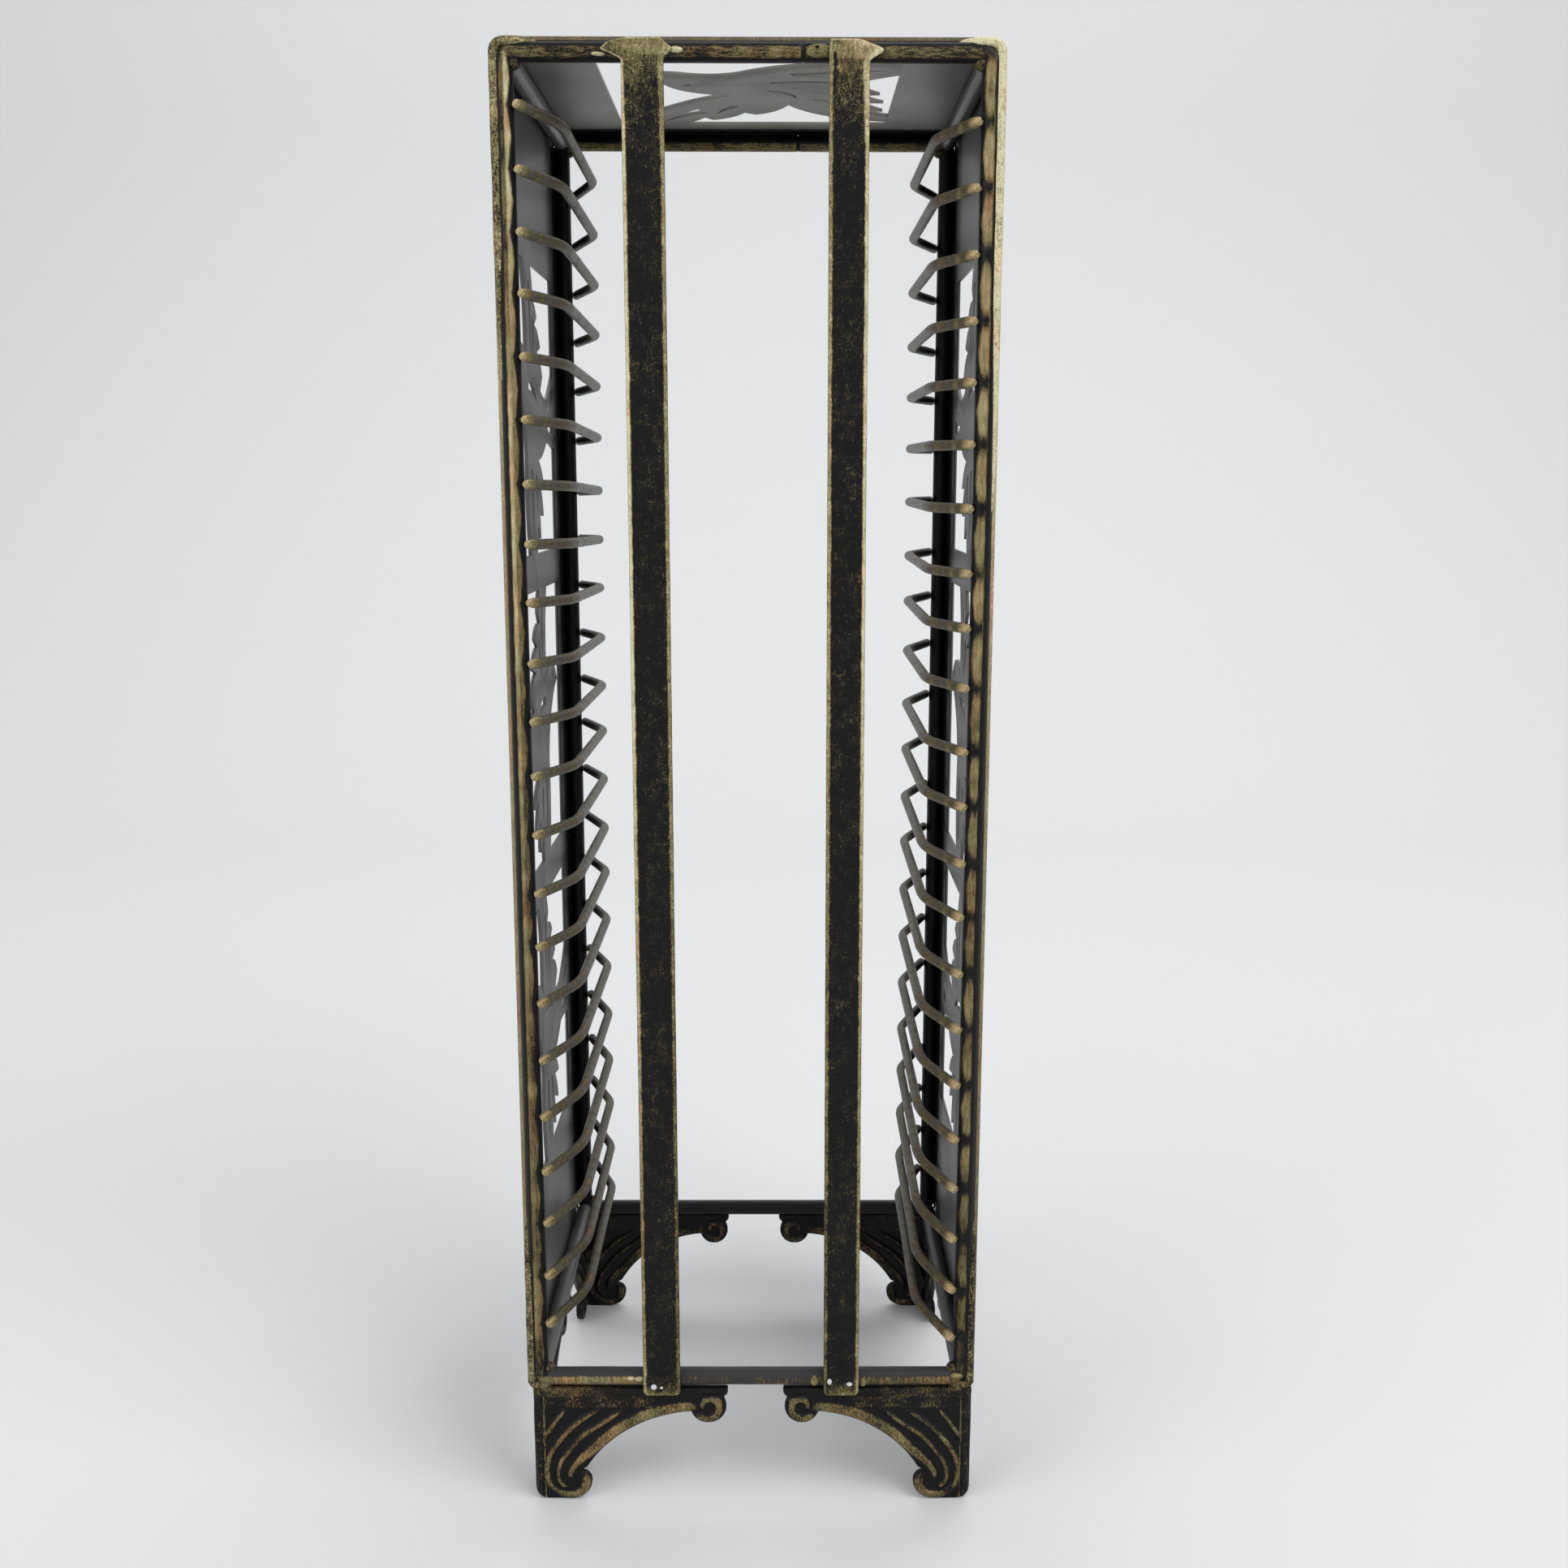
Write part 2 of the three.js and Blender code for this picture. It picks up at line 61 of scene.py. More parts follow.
# %% Measures from the frame
rear_low, rear_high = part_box("rear_frame")
front_low, front_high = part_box("front_frame")
side_low, side_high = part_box("right_panel")
ROD = (rear_high.y - rear_low.y) / 2
POST_X = rear_high.x - ROD
REAR_Y = (rear_low.y + rear_high.y) / 2
FRONT_Y = (front_low.y + front_high.y) / 2
MIDDLE_Y = (REAR_Y + FRONT_Y) / 2
TOP_Z = rear_high.z - ROD
BOTTOM_Z = rear_low.z + ROD
SHEET = side_high.x - side_low.x
WORDS = {-1: "left", 1: "right"}
WIRE_COUNT = 22
WIRE_RADIUS = 1.8 * MM
WIRES = {side: [f"wire_{word}_{i + 1:02d}" for i in range(WIRE_COUNT)] for side, word in WORDS.items()}


def wire_ends(node):
    """Height of a wire's middle at its rear and front ends, from its CAD mesh."""
    verts = [v.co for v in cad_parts[node].data.vertices]
    near = min(v.y for v in verts)
    far = max(v.y for v in verts)
    rear = [v.z for v in verts if v.y < near + WIRE_RADIUS]
    front = [v.z for v in verts if v.y > far - WIRE_RADIUS]
    return (min(rear) + max(rear)) / 2, (min(front) + max(front)) / 2


WIRE_LEVELS = {side: [wire_ends(node) for node in nodes] for side, nodes in WIRES.items()}
print("rod radius", round(ROD / MM, 3), "mm, ring spacing", round((FRONT_Y - REAR_Y) / MM, 2), "mm")

# %% [markdown]
# The camera comes before any piece, so that each can be compared with the photograph as it is
# made. Its place was worked out from the rings: their known size fixes how far away the camera
# stood, and their corners fix its height and tilt. A matrix states the direction exactly.

# %% Camera
IMAGE_SIDE = 1932
FOCAL_PIXELS = 1990
CAMERA_PITCH = 0.1858
CAMERA_YAW = 0.0036
CAMERA_ROLL = -0.0017
CAMERA_FROM_REAR_RING = Vector((9.8, -540.5, 369.9)) * MM


def camera_axes(pitch, yaw, roll):
    """The camera's right, up and backward directions as the columns of a matrix."""
    forward = Vector((math.sin(yaw) * math.cos(pitch), math.cos(yaw) * math.cos(pitch), -math.sin(pitch)))
    level = Vector((math.cos(yaw), -math.sin(yaw), 0))
    down = forward.cross(level)
    right = level * math.cos(roll) + down * math.sin(roll)
    below = down * math.cos(roll) - level * math.sin(roll)
    return Matrix((right, -below, -forward)).transposed()


lens = bpy.data.cameras.new("camera")
lens.sensor_width = 36
lens.lens = lens.sensor_width * FOCAL_PIXELS / IMAGE_SIDE
lens.clip_start = 0.02
camera = bpy.data.objects.new("camera", lens)
bpy.context.scene.collection.objects.link(camera)
stand = CAMERA_FROM_REAR_RING + Vector((0, REAR_Y, 0))
turn = camera_axes(CAMERA_PITCH, CAMERA_YAW, CAMERA_ROLL).to_4x4()
camera.matrix_world = Matrix.Translation(stand) @ turn
bpy.context.scene.camera = camera
print("camera stands at", [round(v, 3) for v in stand])

# %% [markdown]
# Node trees take many lines to build by hand, so small helpers shorten them. `put` adds a node and
# sets or links its inputs in one call, and the others wrap the few nodes that come up again and
# again: a sum, a noise, a change of range, a mix of colours and a colour ramp.

# %% Helpers for node trees
WORN = "worn"
ALONG = "along"
WRAP = "wrap"


def put(tree, kind, inputs=(), **settings):
    """Add a node; an input that is given a socket is linked to it, anything else is its value."""
    made = tree.nodes.new(kind)
    for key, value in settings.items():
        setattr(made, key, value)
    for key, value in dict(inputs).items():
        if isinstance(value, bpy.types.NodeSocket):
            tree.links.new(value, made.inputs[key])
        else:
            made.inputs[key].default_value = value
    return made


def new_tree(name, kind, inputs, outputs):
    """A tree with named inputs and outputs, and the socket that each input gives inside it."""
    tree = bpy.data.node_groups.new(name, kind)
    for in_out, sockets in (("INPUT", inputs), ("OUTPUT", outputs)):
        for label, socket in sockets.items():
            tree.interface.new_socket(label, in_out=in_out, socket_type="NodeSocket" + socket)
    entry = tree.nodes.new("NodeGroupInput")
    return tree, {label: entry.outputs[label] for label in inputs}


def maths(tree, operation, *values):
    return put(tree, "ShaderNodeMath", dict(enumerate(values)), operation=operation).outputs[0]


def noisy(tree, scale, detail, dimensions="3D", **inputs):
    given = {"Scale": scale, "Detail": detail, **inputs}
    return put(tree, "ShaderNodeTexNoise", given, noise_dimensions=dimensions).outputs["Fac"]


def ranged(tree, value, start=0.0, end=1.0, low=0.0, high=1.0, curve="LINEAR"):
    """Carry a value from the range of start to end into the range of low to high."""
    given = {"Value": value, "From Min": start, "From Max": end, "To Min": low, "To Max": high}
    return put(tree, "ShaderNodeMapRange", given, interpolation_type=curve).outputs["Result"]


def mixed(tree, factor, a, b, blend="MIX"):
    given = {"Factor": factor, "A": a, "B": b}
    return put(tree, "ShaderNodeMix", given, data_type="RGBA", blend_type=blend).outputs[2]


def ramp(tree, value, tones):
    """A colour by a value, from a table of places and tones."""
    made = put(tree, "ShaderNodeValToRGB", {"Fac": value})
    stops = made.color_ramp.elements
    while len(stops) < len(tones):
        stops.new(0.5)
    for stop, (place, tone) in zip(stops, tones):
        stop.position = place
        stop.color = (*tone, 1)
    return made.outputs["Color"]


print("helpers ready")

# %% [markdown]
# Every piece ends as a plain mesh, so that its gold can be set point by point. `bake_shape` turns a
# finished modifier stack into one, `skin` closes a stack of rings of vertices, which serves prisms,
# ribs and strips alike, and `hand_over` says which body and CAD nodes a piece stands for.

# %% Helpers for pieces
def new_piece(name, mesh):
    """Link a mesh to the scene as an object that sits at the origin."""
    piece = bpy.data.objects.new(name, mesh)
    bpy.context.scene.collection.objects.link(piece)
    return piece


def from_bmesh(name, model):
    mesh = bpy.data.meshes.new(name)
    model.to_mesh(mesh)
    model.free()
    return new_piece(name, mesh)


def bake_shape(piece):
    """Apply the piece's modifiers, leaving a plain mesh with its materials and attributes."""
    graph = bpy.context.evaluated_depsgraph_get()
    ready = piece.evaluated_get(graph)
    mesh = bpy.data.meshes.new_from_object(ready, preserve_all_data_layers=True, depsgraph=graph)
    piece.modifiers.clear()
    piece.data = mesh


def apply_modifier(piece, kind, **settings):
    modifier = piece.modifiers.new(kind.lower(), kind)
    for key, value in settings.items():
        setattr(modifier, key, value)
    bake_shape(piece)


def round_shading(piece, degrees=35):
    """Shade smooth, with sharp edges kept where faces meet at more than this angle."""
    piece.data.polygons.foreach_set("use_smooth", [True] * len(piece.data.polygons))
    piece.data.set_sharp_from_angle(angle=math.radians(degrees))


def keep_worn(mesh, values, domain="POINT"):
    mesh.attributes.new(WORN, "FLOAT", domain).data.foreach_set("value", values)


def hand_over(piece, slot, *nodes):
    """Let the piece ride on the tower and stand for its CAD nodes; slot is not used."""
    if nodes:
        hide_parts(*nodes)
    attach(piece, "root")
    print(piece.name, "has", sum(len(p.vertices) - 2 for p in piece.data.polygons), "triangles")


print("piece helpers ready")

# %% Helpers for skins, outlines and tables
def skin(model, rings):
    """Join rings of vertices into a closed tube with flat ends and outward faces."""
    faces = [model.faces.new(rings[0]), model.faces.new(list(reversed(rings[-1])))]
    count = len(rings[0])
    for a, b in zip(rings, rings[1:]):
        for i in range(count):
            j = (i + 1) % count
            faces.append(model.faces.new((a[j], a[i], b[i], b[j])))
    bmesh.ops.recalc_face_normals(model, faces=faces)


def add_prism(model, points, place, low, high):
    """Add a prism of a flat outline; place puts an outline point at a depth."""
    skin(model, [[model.verts.new(place(p, depth)) for p in points] for depth in (low, high)])


def prism(name, points, place, low, high):
    model = bmesh.new()
    add_prism(model, points, place, low, high)
    return from_bmesh(name, model)


def arc(centre, radius, start, end, steps):
    angles = [start + (end - start) * k / steps for k in range(steps + 1)]
    return [centre + Vector((radius * math.cos(a), radius * math.sin(a))) for a in angles]


def clamp(value):
    return min(1, max(0, value))


def between(table, x, column=1):
    """Straight-line reading of a table's column at x."""
    for before, after in zip(table, table[1:]):
        if x <= after[0]:
            share = (x - before[0]) / (after[0] - before[0])
            return before[column] + (after[column] - before[column]) * max(share, 0)
    return table[-1][column]


print("halfway from 2 to 4 a table reads", between([(0, 2), (1, 4)], 0.5))

# %% [markdown]
# The finish is the same everywhere: a dark coat, then a nearly dry brush that leaves gold only
# where it touches. Each piece carries a `worn` value that says how much gold its surface catches.
# The material adds noises to it: bristle marks, slow patches, fine flecks and, on the strips, short
# curled hairs. The sum is the thickness of the gold, and a colour ramp turns it from black over
# brown to pale gold, just as real bronze paint lightens where it lies thicker.

# %% The brushed finish as a group of nodes
BRUSHED_INPUTS = {
    "Marks at": "Vector", "Patches at": "Vector", "Worn": "Float", "Coat": "Color", "Grain": "Float",
    "Patchiness": "Float", "Flecks": "Float", "Warmth": "Float", "Hairs": "Float",
}
BRUSHED_OUTPUTS = {"Color": "Color", "Metal": "Float", "Rough": "Float", "Height": "Float"}
# Sizes of the noises in millimetres
GRAIN_SIZE = 0.8
PATCH_SIZE = 6.5
FLECK_SIZE = 0.42
WARM_SIZE = 20.0
HAIR_SIZE = 1.25
TUFT_SIZE = 2.6
# Where worn goes below zero, the coat itself turns black: at the butt seam and the weld pit, and as
# painted shade in the posts' grooves, the front ring's inside, the wires' far ends and the sheets' insides
BLACKENING_AND_SHADE = (-1.0, -0.2)
GOLD_BEGINS = 0.24
GOLD_COVERS = 0.42
GOLD_TONES = [
    (0.24, (0.012, 0.0105, 0.008)), (0.34, (0.045, 0.034, 0.019)), (0.46, (0.12, 0.094, 0.049)),
    (0.6, (0.21, 0.17, 0.094)), (0.78, (0.36, 0.3, 0.19)), (1.0, (0.66, 0.6, 0.47)),
]
OLIVE = (0.98, 1.0, 0.82, 1)
COPPER = (1.16, 0.9, 0.74, 1)


def centred(tree, where, size, detail, roughness, amount, onto):
    """A noise that swings both ways around zero, scaled by amount and added onto a value."""
    raw = noisy(tree, 1 / size, detail, Vector=where, Roughness=roughness)
    return maths(tree, "MULTIPLY_ADD", maths(tree, "MULTIPLY_ADD", raw, 2.0, -1.0), amount, onto)


def hairs(tree, where, amount, onto):
    """Short curled hairs of gold: a warped noise's middle level, broken up by slow tufts."""
    level = maths(tree, "ADD", noisy(tree, 1 / HAIR_SIZE, 1.0, Vector=where, Distortion=1.4), -0.5)
    line = ranged(tree, maths(tree, "ABSOLUTE", level), end=0.05, low=1.0, high=0.0)
    tuft = ranged(tree, noisy(tree, 1 / TUFT_SIZE, 2.0, Vector=where), 0.3, 0.52)
    return maths(tree, "MULTIPLY_ADD", maths(tree, "MULTIPLY", line, tuft), amount, onto)


def brushed_group():
    """Colour, roughness, metal and height of a dark coat with gold brushed over it."""
    tree, given = new_tree("brushed finish", "ShaderNodeTree", BRUSHED_INPUTS, BRUSHED_OUTPUTS)
    plain = given["Patches at"]
    patched = centred(tree, plain, PATCH_SIZE, 3, 0.5, given["Patchiness"], given["Worn"])
    marked = centred(tree, given["Marks at"], GRAIN_SIZE, 5, 0.62, given["Grain"], patched)
    flecked = centred(tree, plain, FLECK_SIZE, 3, 0.65, given["Flecks"], marked)
    thick = hairs(tree, plain, given["Hairs"], flecked)
    coat = mixed(tree, 1.0, given["Coat"], ranged(tree, given["Worn"], *BLACKENING_AND_SHADE, 0.03, 1.0), "MULTIPLY")
    warm = centred(tree, plain, WARM_SIZE, 2, 0.5, 2.0, given["Warmth"])
    tint = mixed(tree, warm, OLIVE, COPPER)
    gold = mixed(tree, 1.0, ramp(tree, thick, GOLD_TONES), tint, "MULTIPLY")
    mask = ranged(tree, thick, GOLD_BEGINS, GOLD_COVERS, curve="SMOOTHSTEP")
    put(tree, "NodeGroupOutput", {
        "Color": mixed(tree, mask, coat, gold), "Metal": maths(tree, "MULTIPLY", mask, 0.3),
        "Rough": ranged(tree, mask, low=0.4, high=0.5), "Height": thick,
    })
    return tree


BRUSHED = brushed_group()
print("nodes in the finish:", len(BRUSHED.nodes))

# %% [markdown]
# A rod or wire carries its own coordinates. `along` runs with its length and `wrap` goes round it,
# so bristle marks can run with the rod however it turns. Cast and cut pieces read Object
# coordinates instead. One maker builds both kinds of material from a short list of numbers: how
# the marks are stretched, and how strong grain, patches, flecks, warmth and hairs are.

# %% Helpers for materials
BUMP_DEPTH = 0.05 * MM
COAT_SHINE = 0.15
COAT = (0.005, 0.005, 0.0053, 1)


def attribute(tree, name):
    return put(tree, "ShaderNodeAttribute", attribute_name=name).outputs


def places(tree, stretch, on_rod=False):
    """Coordinates in millimetres: stretched for the bristle marks, and plain for the patches."""
    where = put(tree, "ShaderNodeTexCoord").outputs["Object"]
    if on_rod:
        wrap = put(tree, "ShaderNodeSeparateXYZ", {0: attribute(tree, WRAP)["Vector"]}).outputs
        on_skin = {"X": attribute(tree, ALONG)["Fac"], "Y": wrap["X"], "Z": wrap["Y"]}
        where = put(tree, "ShaderNodeCombineXYZ", on_skin).outputs[0]
    scales = (tuple(s / MM for s in stretch), (1 / MM,) * 3)
    return [put(tree, "ShaderNodeMapping", {"Vector": where, "Scale": s}).outputs[0] for s in scales]


def finish_node(tree, where, worn, coat, amounts):
    """The brushed finish; amounts are its grain, patchiness, flecks, warmth and hairs."""
    given = dict(zip(BRUSHED_INPUTS, (*where, worn, coat, *amounts)))
    return put(tree, "ShaderNodeGroup", given, node_tree=BRUSHED).outputs


def finish_shader(tree, colour, metal, rough, height, depth=BUMP_DEPTH, shine=COAT_SHINE):
    """Join the colour, metal, roughness and height of a finish in one shader."""
    bump = put(tree, "ShaderNodeBump", {"Strength": 0.7, "Distance": depth, "Height": height})
    shader = put(tree, "ShaderNodeBsdfPrincipled", {
        "Base Color": colour, "Metallic": metal, "Roughness": rough, "Specular IOR Level": shine,
        "Normal": bump.outputs[0],
    })
    put(tree, "ShaderNodeOutputMaterial", {"Surface": shader.outputs[0]})


def new_material(name):
    material = bpy.data.materials.new(name)
    material.use_nodes = True
    material.node_tree.nodes.clear()
    return material, material.node_tree


def brushed_material(name, stretch, amounts, on_rod=False, coat=COAT, shine=COAT_SHINE):
    material, tree = new_material(name)
    worn = attribute(tree, WORN)["Fac"]
    out = finish_node(tree, places(tree, stretch, on_rod), worn, coat, amounts)
    finish_shader(tree, out["Color"], out["Metal"], out["Rough"], out["Height"], shine=shine)
    return material


print("distance of the gold's bump:", round(BUMP_DEPTH / MM, 3), "mm")

# %% Materials of the brushed pieces
WIRE_COAT = (0.094, 0.084, 0.062, 1)
# Painted light: the bottom rails' coat is grey, not black, as a soft sheen on their tops, which face the
# lamps
RAIL_COAT_WITH_SHEEN = (0.035, 0.035, 0.037, 1)
BARE_STEEL = (0.6, 0.6, 0.58, 1)
ring_paint = brushed_material("brushed ring", (0.16, 1.2, 1.2), (0.26, 0.2, 0.2, 0.25), True)
top_rail_paint = brushed_material("brushed top rail", (0.3, 1.7, 1.7), (0.42, 0.2, 0.34), True)
brushed_and_sheened_rail_paint = brushed_material("brushed rail with painted sheen", (1.5, 0.4, 0.4), (0.5, 0.32, 0.3, 0.35), True, RAIL_COAT_WITH_SHEEN)
wire_paint = brushed_material("brushed wire", (0.25, 0.9, 0.9), (0.3, 0.42, 0.27, 0.22), True, WIRE_COAT)
foot_paint = brushed_material("brushed foot", (1.3, 1.3, 0.6), (0.44, 0.22, 0.3, 0.3))
strip_paint = brushed_material("brushed strip", (1.6, 1.6, 0.36), (0.32, 0.2, 0.2, -0.15, 0.34))
weld_paint = brushed_material("brushed weld", (0.8, 0.8, 0.8), (0.3, 0.2, 0.3))
seam_paint = brushed_material("brushed seam", (0.9, 0.9, 0.5), (0.5, 0.4, 0.8, -0.1))
steel_paint = brushed_material("bare steel", (0.8, 0.8, 0.8), (0.3, 0.2, 0.3), coat=BARE_STEEL, shine=0.5)
print("brushed materials:", [m.name for m in bpy.data.materials if m.name.startswith("brushed")])

# %% [markdown]
# The sheets were sprayed, not brushed: their insides are an even, satin, warm grey-black. A slow
# noise moves the tone a little, and a fine one gives the spray its orange-peel surface. The cut
# rims caught the brush, so a little of the brushed finish is laid over them by `worn`. Towards the
# open side the insides darken to black: painted shade.

# %% Material of the sheets and the depth rods
# Painted shade: the sheets' insides darken to black towards the open side, between these depths
DEEPEST_PAINTED_SHADE = -1.2
PAINTED_SHADE_ON_SIDES = (REAR_Y + 106 * MM, REAR_Y + 124 * MM)
PAINTED_SHADE_ON_TOP = (REAR_Y + 126 * MM, REAR_Y + 133 * MM)
INSIDE_SIDES = ("X", abs(side_low.x + side_high.x) / 2)
INSIDE_TOP = ("Z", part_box("top_panel")[1].z - SHEET / 2)
# Scales of the slow and the fine noise, per metre, and how deep the fine one goes
TONE_SCALE = 26
PEEL_SCALE = 1400
PEEL_DEPTH = 0.012 * MM
SPRAY_METAL = 0.12
SPRAY_SHINE = 0.5


def satin_material(name, base, bright, rough, painted_shade_depths=None, inside=None):
    """A sprayed finish; between the two depths of painted_shade_depths its inside darkens to black as
    painted shade.
    """
    material, tree = new_material(name)
    here = put(tree, "ShaderNodeTexCoord").outputs["Object"]
    worn = attribute(tree, WORN)["Fac"]
    if painted_shade_depths:
        axis, limit = inside
        spot = put(tree, "ShaderNodeSeparateXYZ", {0: here}).outputs
        shade_to_black = ranged(tree, spot["Y"], *painted_shade_depths, 0.0, DEEPEST_PAINTED_SHADE, "SMOOTHSTEP")
        within = maths(tree, "LESS_THAN", maths(tree, "ABSOLUTE", spot[axis]), limit)
        worn = maths(tree, "MULTIPLY_ADD", shade_to_black, within, worn)
    tone = ranged(tree, noisy(tree, TONE_SCALE, 4, Vector=here), 0.35, 0.65)
    spray = mixed(tree, tone, base, bright)
    out = finish_node(tree, places(tree, (1.4, 1.4, 0.5)), worn, spray, (0.3, 0.12, 0.25, 0.3))
    peel = noisy(tree, PEEL_SCALE, 2, Vector=here)
    roughness = ranged(tree, peel, 0.3, 0.7, rough, rough + 0.1)
    finish_shader(tree, out["Color"], SPRAY_METAL, roughness, peel, PEEL_DEPTH, SPRAY_SHINE)
    return material


SHEET_TONES = (0.075, 0.072, 0.07, 1), (0.105, 0.102, 0.098, 1)
TOP_SHEET_TONES = (0.12, 0.112, 0.098, 1), (0.185, 0.172, 0.15, 1)
LEFT_ROD_TONES = (0.085, 0.084, 0.082, 1), (0.115, 0.113, 0.11, 1)
# Painted shade: the right depth rods take a darker copy of the same spray as the left ones
RIGHT_ROD_TONES_IN_SHADE = (0.02, 0.02, 0.02, 1), (0.04, 0.04, 0.039, 1)
sheet_paint = satin_material("satin sheet", *SHEET_TONES, 0.4, PAINTED_SHADE_ON_SIDES, INSIDE_SIDES)
top_sheet_paint = satin_material("satin top sheet", *TOP_SHEET_TONES, 0.4, PAINTED_SHADE_ON_TOP, INSIDE_TOP)
left_rod_paint = satin_material("satin rod", *LEFT_ROD_TONES, 0.34)
shaded_right_rod_paint = satin_material("satin rod in painted shade", *RIGHT_ROD_TONES_IN_SHADE, 0.34)
print("satin materials:", [m.name for m in bpy.data.materials if "satin" in m.name])

# %% [markdown]
# Rods are bent from round stock. A Geometry Nodes tree turns any line of corner points into such a
# rod: it rounds the corners, walks along the path in small steps, and sweeps a circle over it.
# A noise on the radius keeps the rod from looking drawn with a ruler. The same tree makes both
# rings and the four depth rods.

# %% Geometry Nodes: a rod along a path
GEOMETRY = {"Geometry": "Geometry"}
ROD_INPUTS = {
    "Geometry": "Geometry", "Radius": "Float", "Bend radius": "Float", "Step": "Float", "Sides": "Int",
    "Unevenness": "Float", "Seed": "Int", "Paint": "Material",
}
# Scale of the noise on the radius, per metre
ROD_WAVES = 55.0


def geo(tree, kind, inputs=(), **settings):
    """The first output of a new node of Geometry Nodes."""
    return put(tree, "GeometryNode" + kind, inputs, **settings).outputs[0]


def stored(tree, geometry, name, value, kind):
    given = {"Geometry": geometry, "Name": name, "Value": value}
    return geo(tree, "StoreNamedAttribute", given, data_type=kind, domain="POINT")


def sweep_round(tree, curve, radius, sides, scale, paint):
    """End the tree: sweep a circle along the curve, and keep along and wrap for the material."""
    length = put(tree, "GeometryNodeSplineParameter").outputs["Length"]
    circle = geo(tree, "CurvePrimitiveCircle", {"Resolution": sides, "Radius": radius})
    swept = geo(tree, "CurveToMesh", {
        "Curve": stored(tree, curve, ALONG, length, "FLOAT"), "Scale": scale, "Fill Caps": True,
        "Profile Curve": stored(tree, circle, WRAP, geo(tree, "InputPosition"), "FLOAT_VECTOR"),
    })
    real = geo(tree, "RealizeInstances", {"Geometry": swept})
    painted = geo(tree, "SetMaterial", {"Geometry": real, "Material": paint})
    put(tree, "NodeGroupOutput", {"Geometry": painted})


def rod_tree():
    tree, given = new_tree("rod along a path", "GeometryNodeTree", ROD_INPUTS, GEOMETRY)
    path = geo(tree, "MeshToCurve", {"Mesh": given["Geometry"]})
    bends = {"Curve": path, "Radius": given["Bend radius"], "Count": 8}
    bent = geo(tree, "FilletCurve", bends, mode="POLY")
    walked = geo(tree, "ResampleCurve", {"Curve": bent, "Length": given["Step"]}, mode="LENGTH")
    wave = maths(tree, "ADD", noisy(tree, ROD_WAVES, 2.0, "4D", W=given["Seed"]), -0.5)
    scale = maths(tree, "MULTIPLY_ADD", wave, given["Unevenness"], 1.0)
    sweep_round(tree, walked, given["Radius"], given["Sides"], scale, given["Paint"])
    return tree


def grown(name, points, tree, values, edges=(), kept=(), degrees=35):
    """Points that a tree turns into a plain mesh; kept lists the attributes that it reads."""
    mesh = bpy.data.meshes.new(name)
    mesh.from_pydata([tuple(p) for p in points], edges, [])
    for label, kind, field, numbers in kept:
        mesh.attributes.new(label, kind, "POINT").data.foreach_set(field, numbers)
    piece = new_piece(name, mesh)
    modifier = piece.modifiers.new(tree.name, "NODES")
    modifier.node_group = tree
    for item in tree.interface.items_tree:
        if item.item_type == "SOCKET" and item.in_out == "INPUT" and item.name in values:
            modifier[item.identifier] = values[item.name]
    bake_shape(piece)
    round_shading(piece, degrees)
    return piece


ROD_TREE = rod_tree()


def rod(name, points, paint, seed, radius, bend, step, sides, unevenness):
    labels = ("Paint", "Seed", "Radius", "Bend radius", "Step", "Sides", "Unevenness")
    values = dict(zip(labels, (paint, seed, radius, bend, step, sides, unevenness)))
    return grown(name, points, ROD_TREE, values, [(i, i + 1) for i in range(len(points) - 1)])


print("rod tree has", len(ROD_TREE.nodes), "nodes")

# %% [markdown]
# Each ring is one rod bent into a rectangle. Its two ends meet in the top rail, right of the
# middle, where a butt seam shows as a dark nick. The dry brush left a clear pattern on it. On a post
# it touched the front as one long band; the groove next to the sheet stayed black, and painted
# shade darkens it further. The inner edge carries long lens-shaped marks between two wires: brush
# gold with a painted highlight, stopping short at each wire as painted shade where its shadow falls.
# The tables say how strong band and marks are along each post and rail. `noise` lets them come and go.

# %% Where the brush touched the rings, and where highlight and shade are painted on them
# Per side: the share of the post's height, then the gold of the crest and of the band
POST_TONES = {
    -1: [
        (0.0, 0.46, 0.46), (0.12, 0.5, 0.44), (0.3, 0.54, 0.44), (0.45, 0.6, 0.44), (0.6, 0.8, 0.52),
        (0.75, 0.82, 0.58), (0.86, 0.4, 0.74), (1.0, 0.36, 0.82),
    ],
    1: [
        (0.0, 0.2, 0.36), (0.12, 0.25, 0.48), (0.24, 0.3, 0.54), (0.36, 0.17, 0.52), (0.48, 0.17, 0.54),
        (0.6, 0.46, 0.62), (0.8, 0.4, 0.66), (1.0, 0.4, 0.62),
    ],
}
TOP_RAIL_TONES = [(0.0, 0.38), (0.25, 0.36), (0.45, 0.4), (0.6, 0.44), (0.8, 0.42), (1.0, 0.38)]
BOTTOM_RAIL_TONES = [
    (0.0, 0.56), (0.2, 0.54), (0.28, 0.34), (0.5, 0.3), (0.72, 0.34), (0.8, 0.4), (0.92, 0.52), (1.0, 0.45),
]
# Per rail: its height, its tones, and where its gold lies across it, as a middle and a half width
RAILS = {"top": (TOP_Z, TOP_RAIL_TONES, -0.12, 0.72), "bottom": (BOTTOM_Z, BOTTOM_RAIL_TONES, 0.2, 0.76)}
# Per side: how far in the band reaches at a wire, how much further midway, and the tone under it
BAND_REACH = {-1: (0.42, 0.4, 0.0), 1: (0.4, 0.5, 0.2)}
# Per side: where the crest's middle lies across the post, and its half width
CREST_AT = {-1: (0.24, 0.34), 1: (0.42, 0.24)}
BAND_OUTER = 0.54
# Painted shade: the groove next to the sheet is darker than the coat
GROOVE_BLACK_AND_SHADE = -0.5
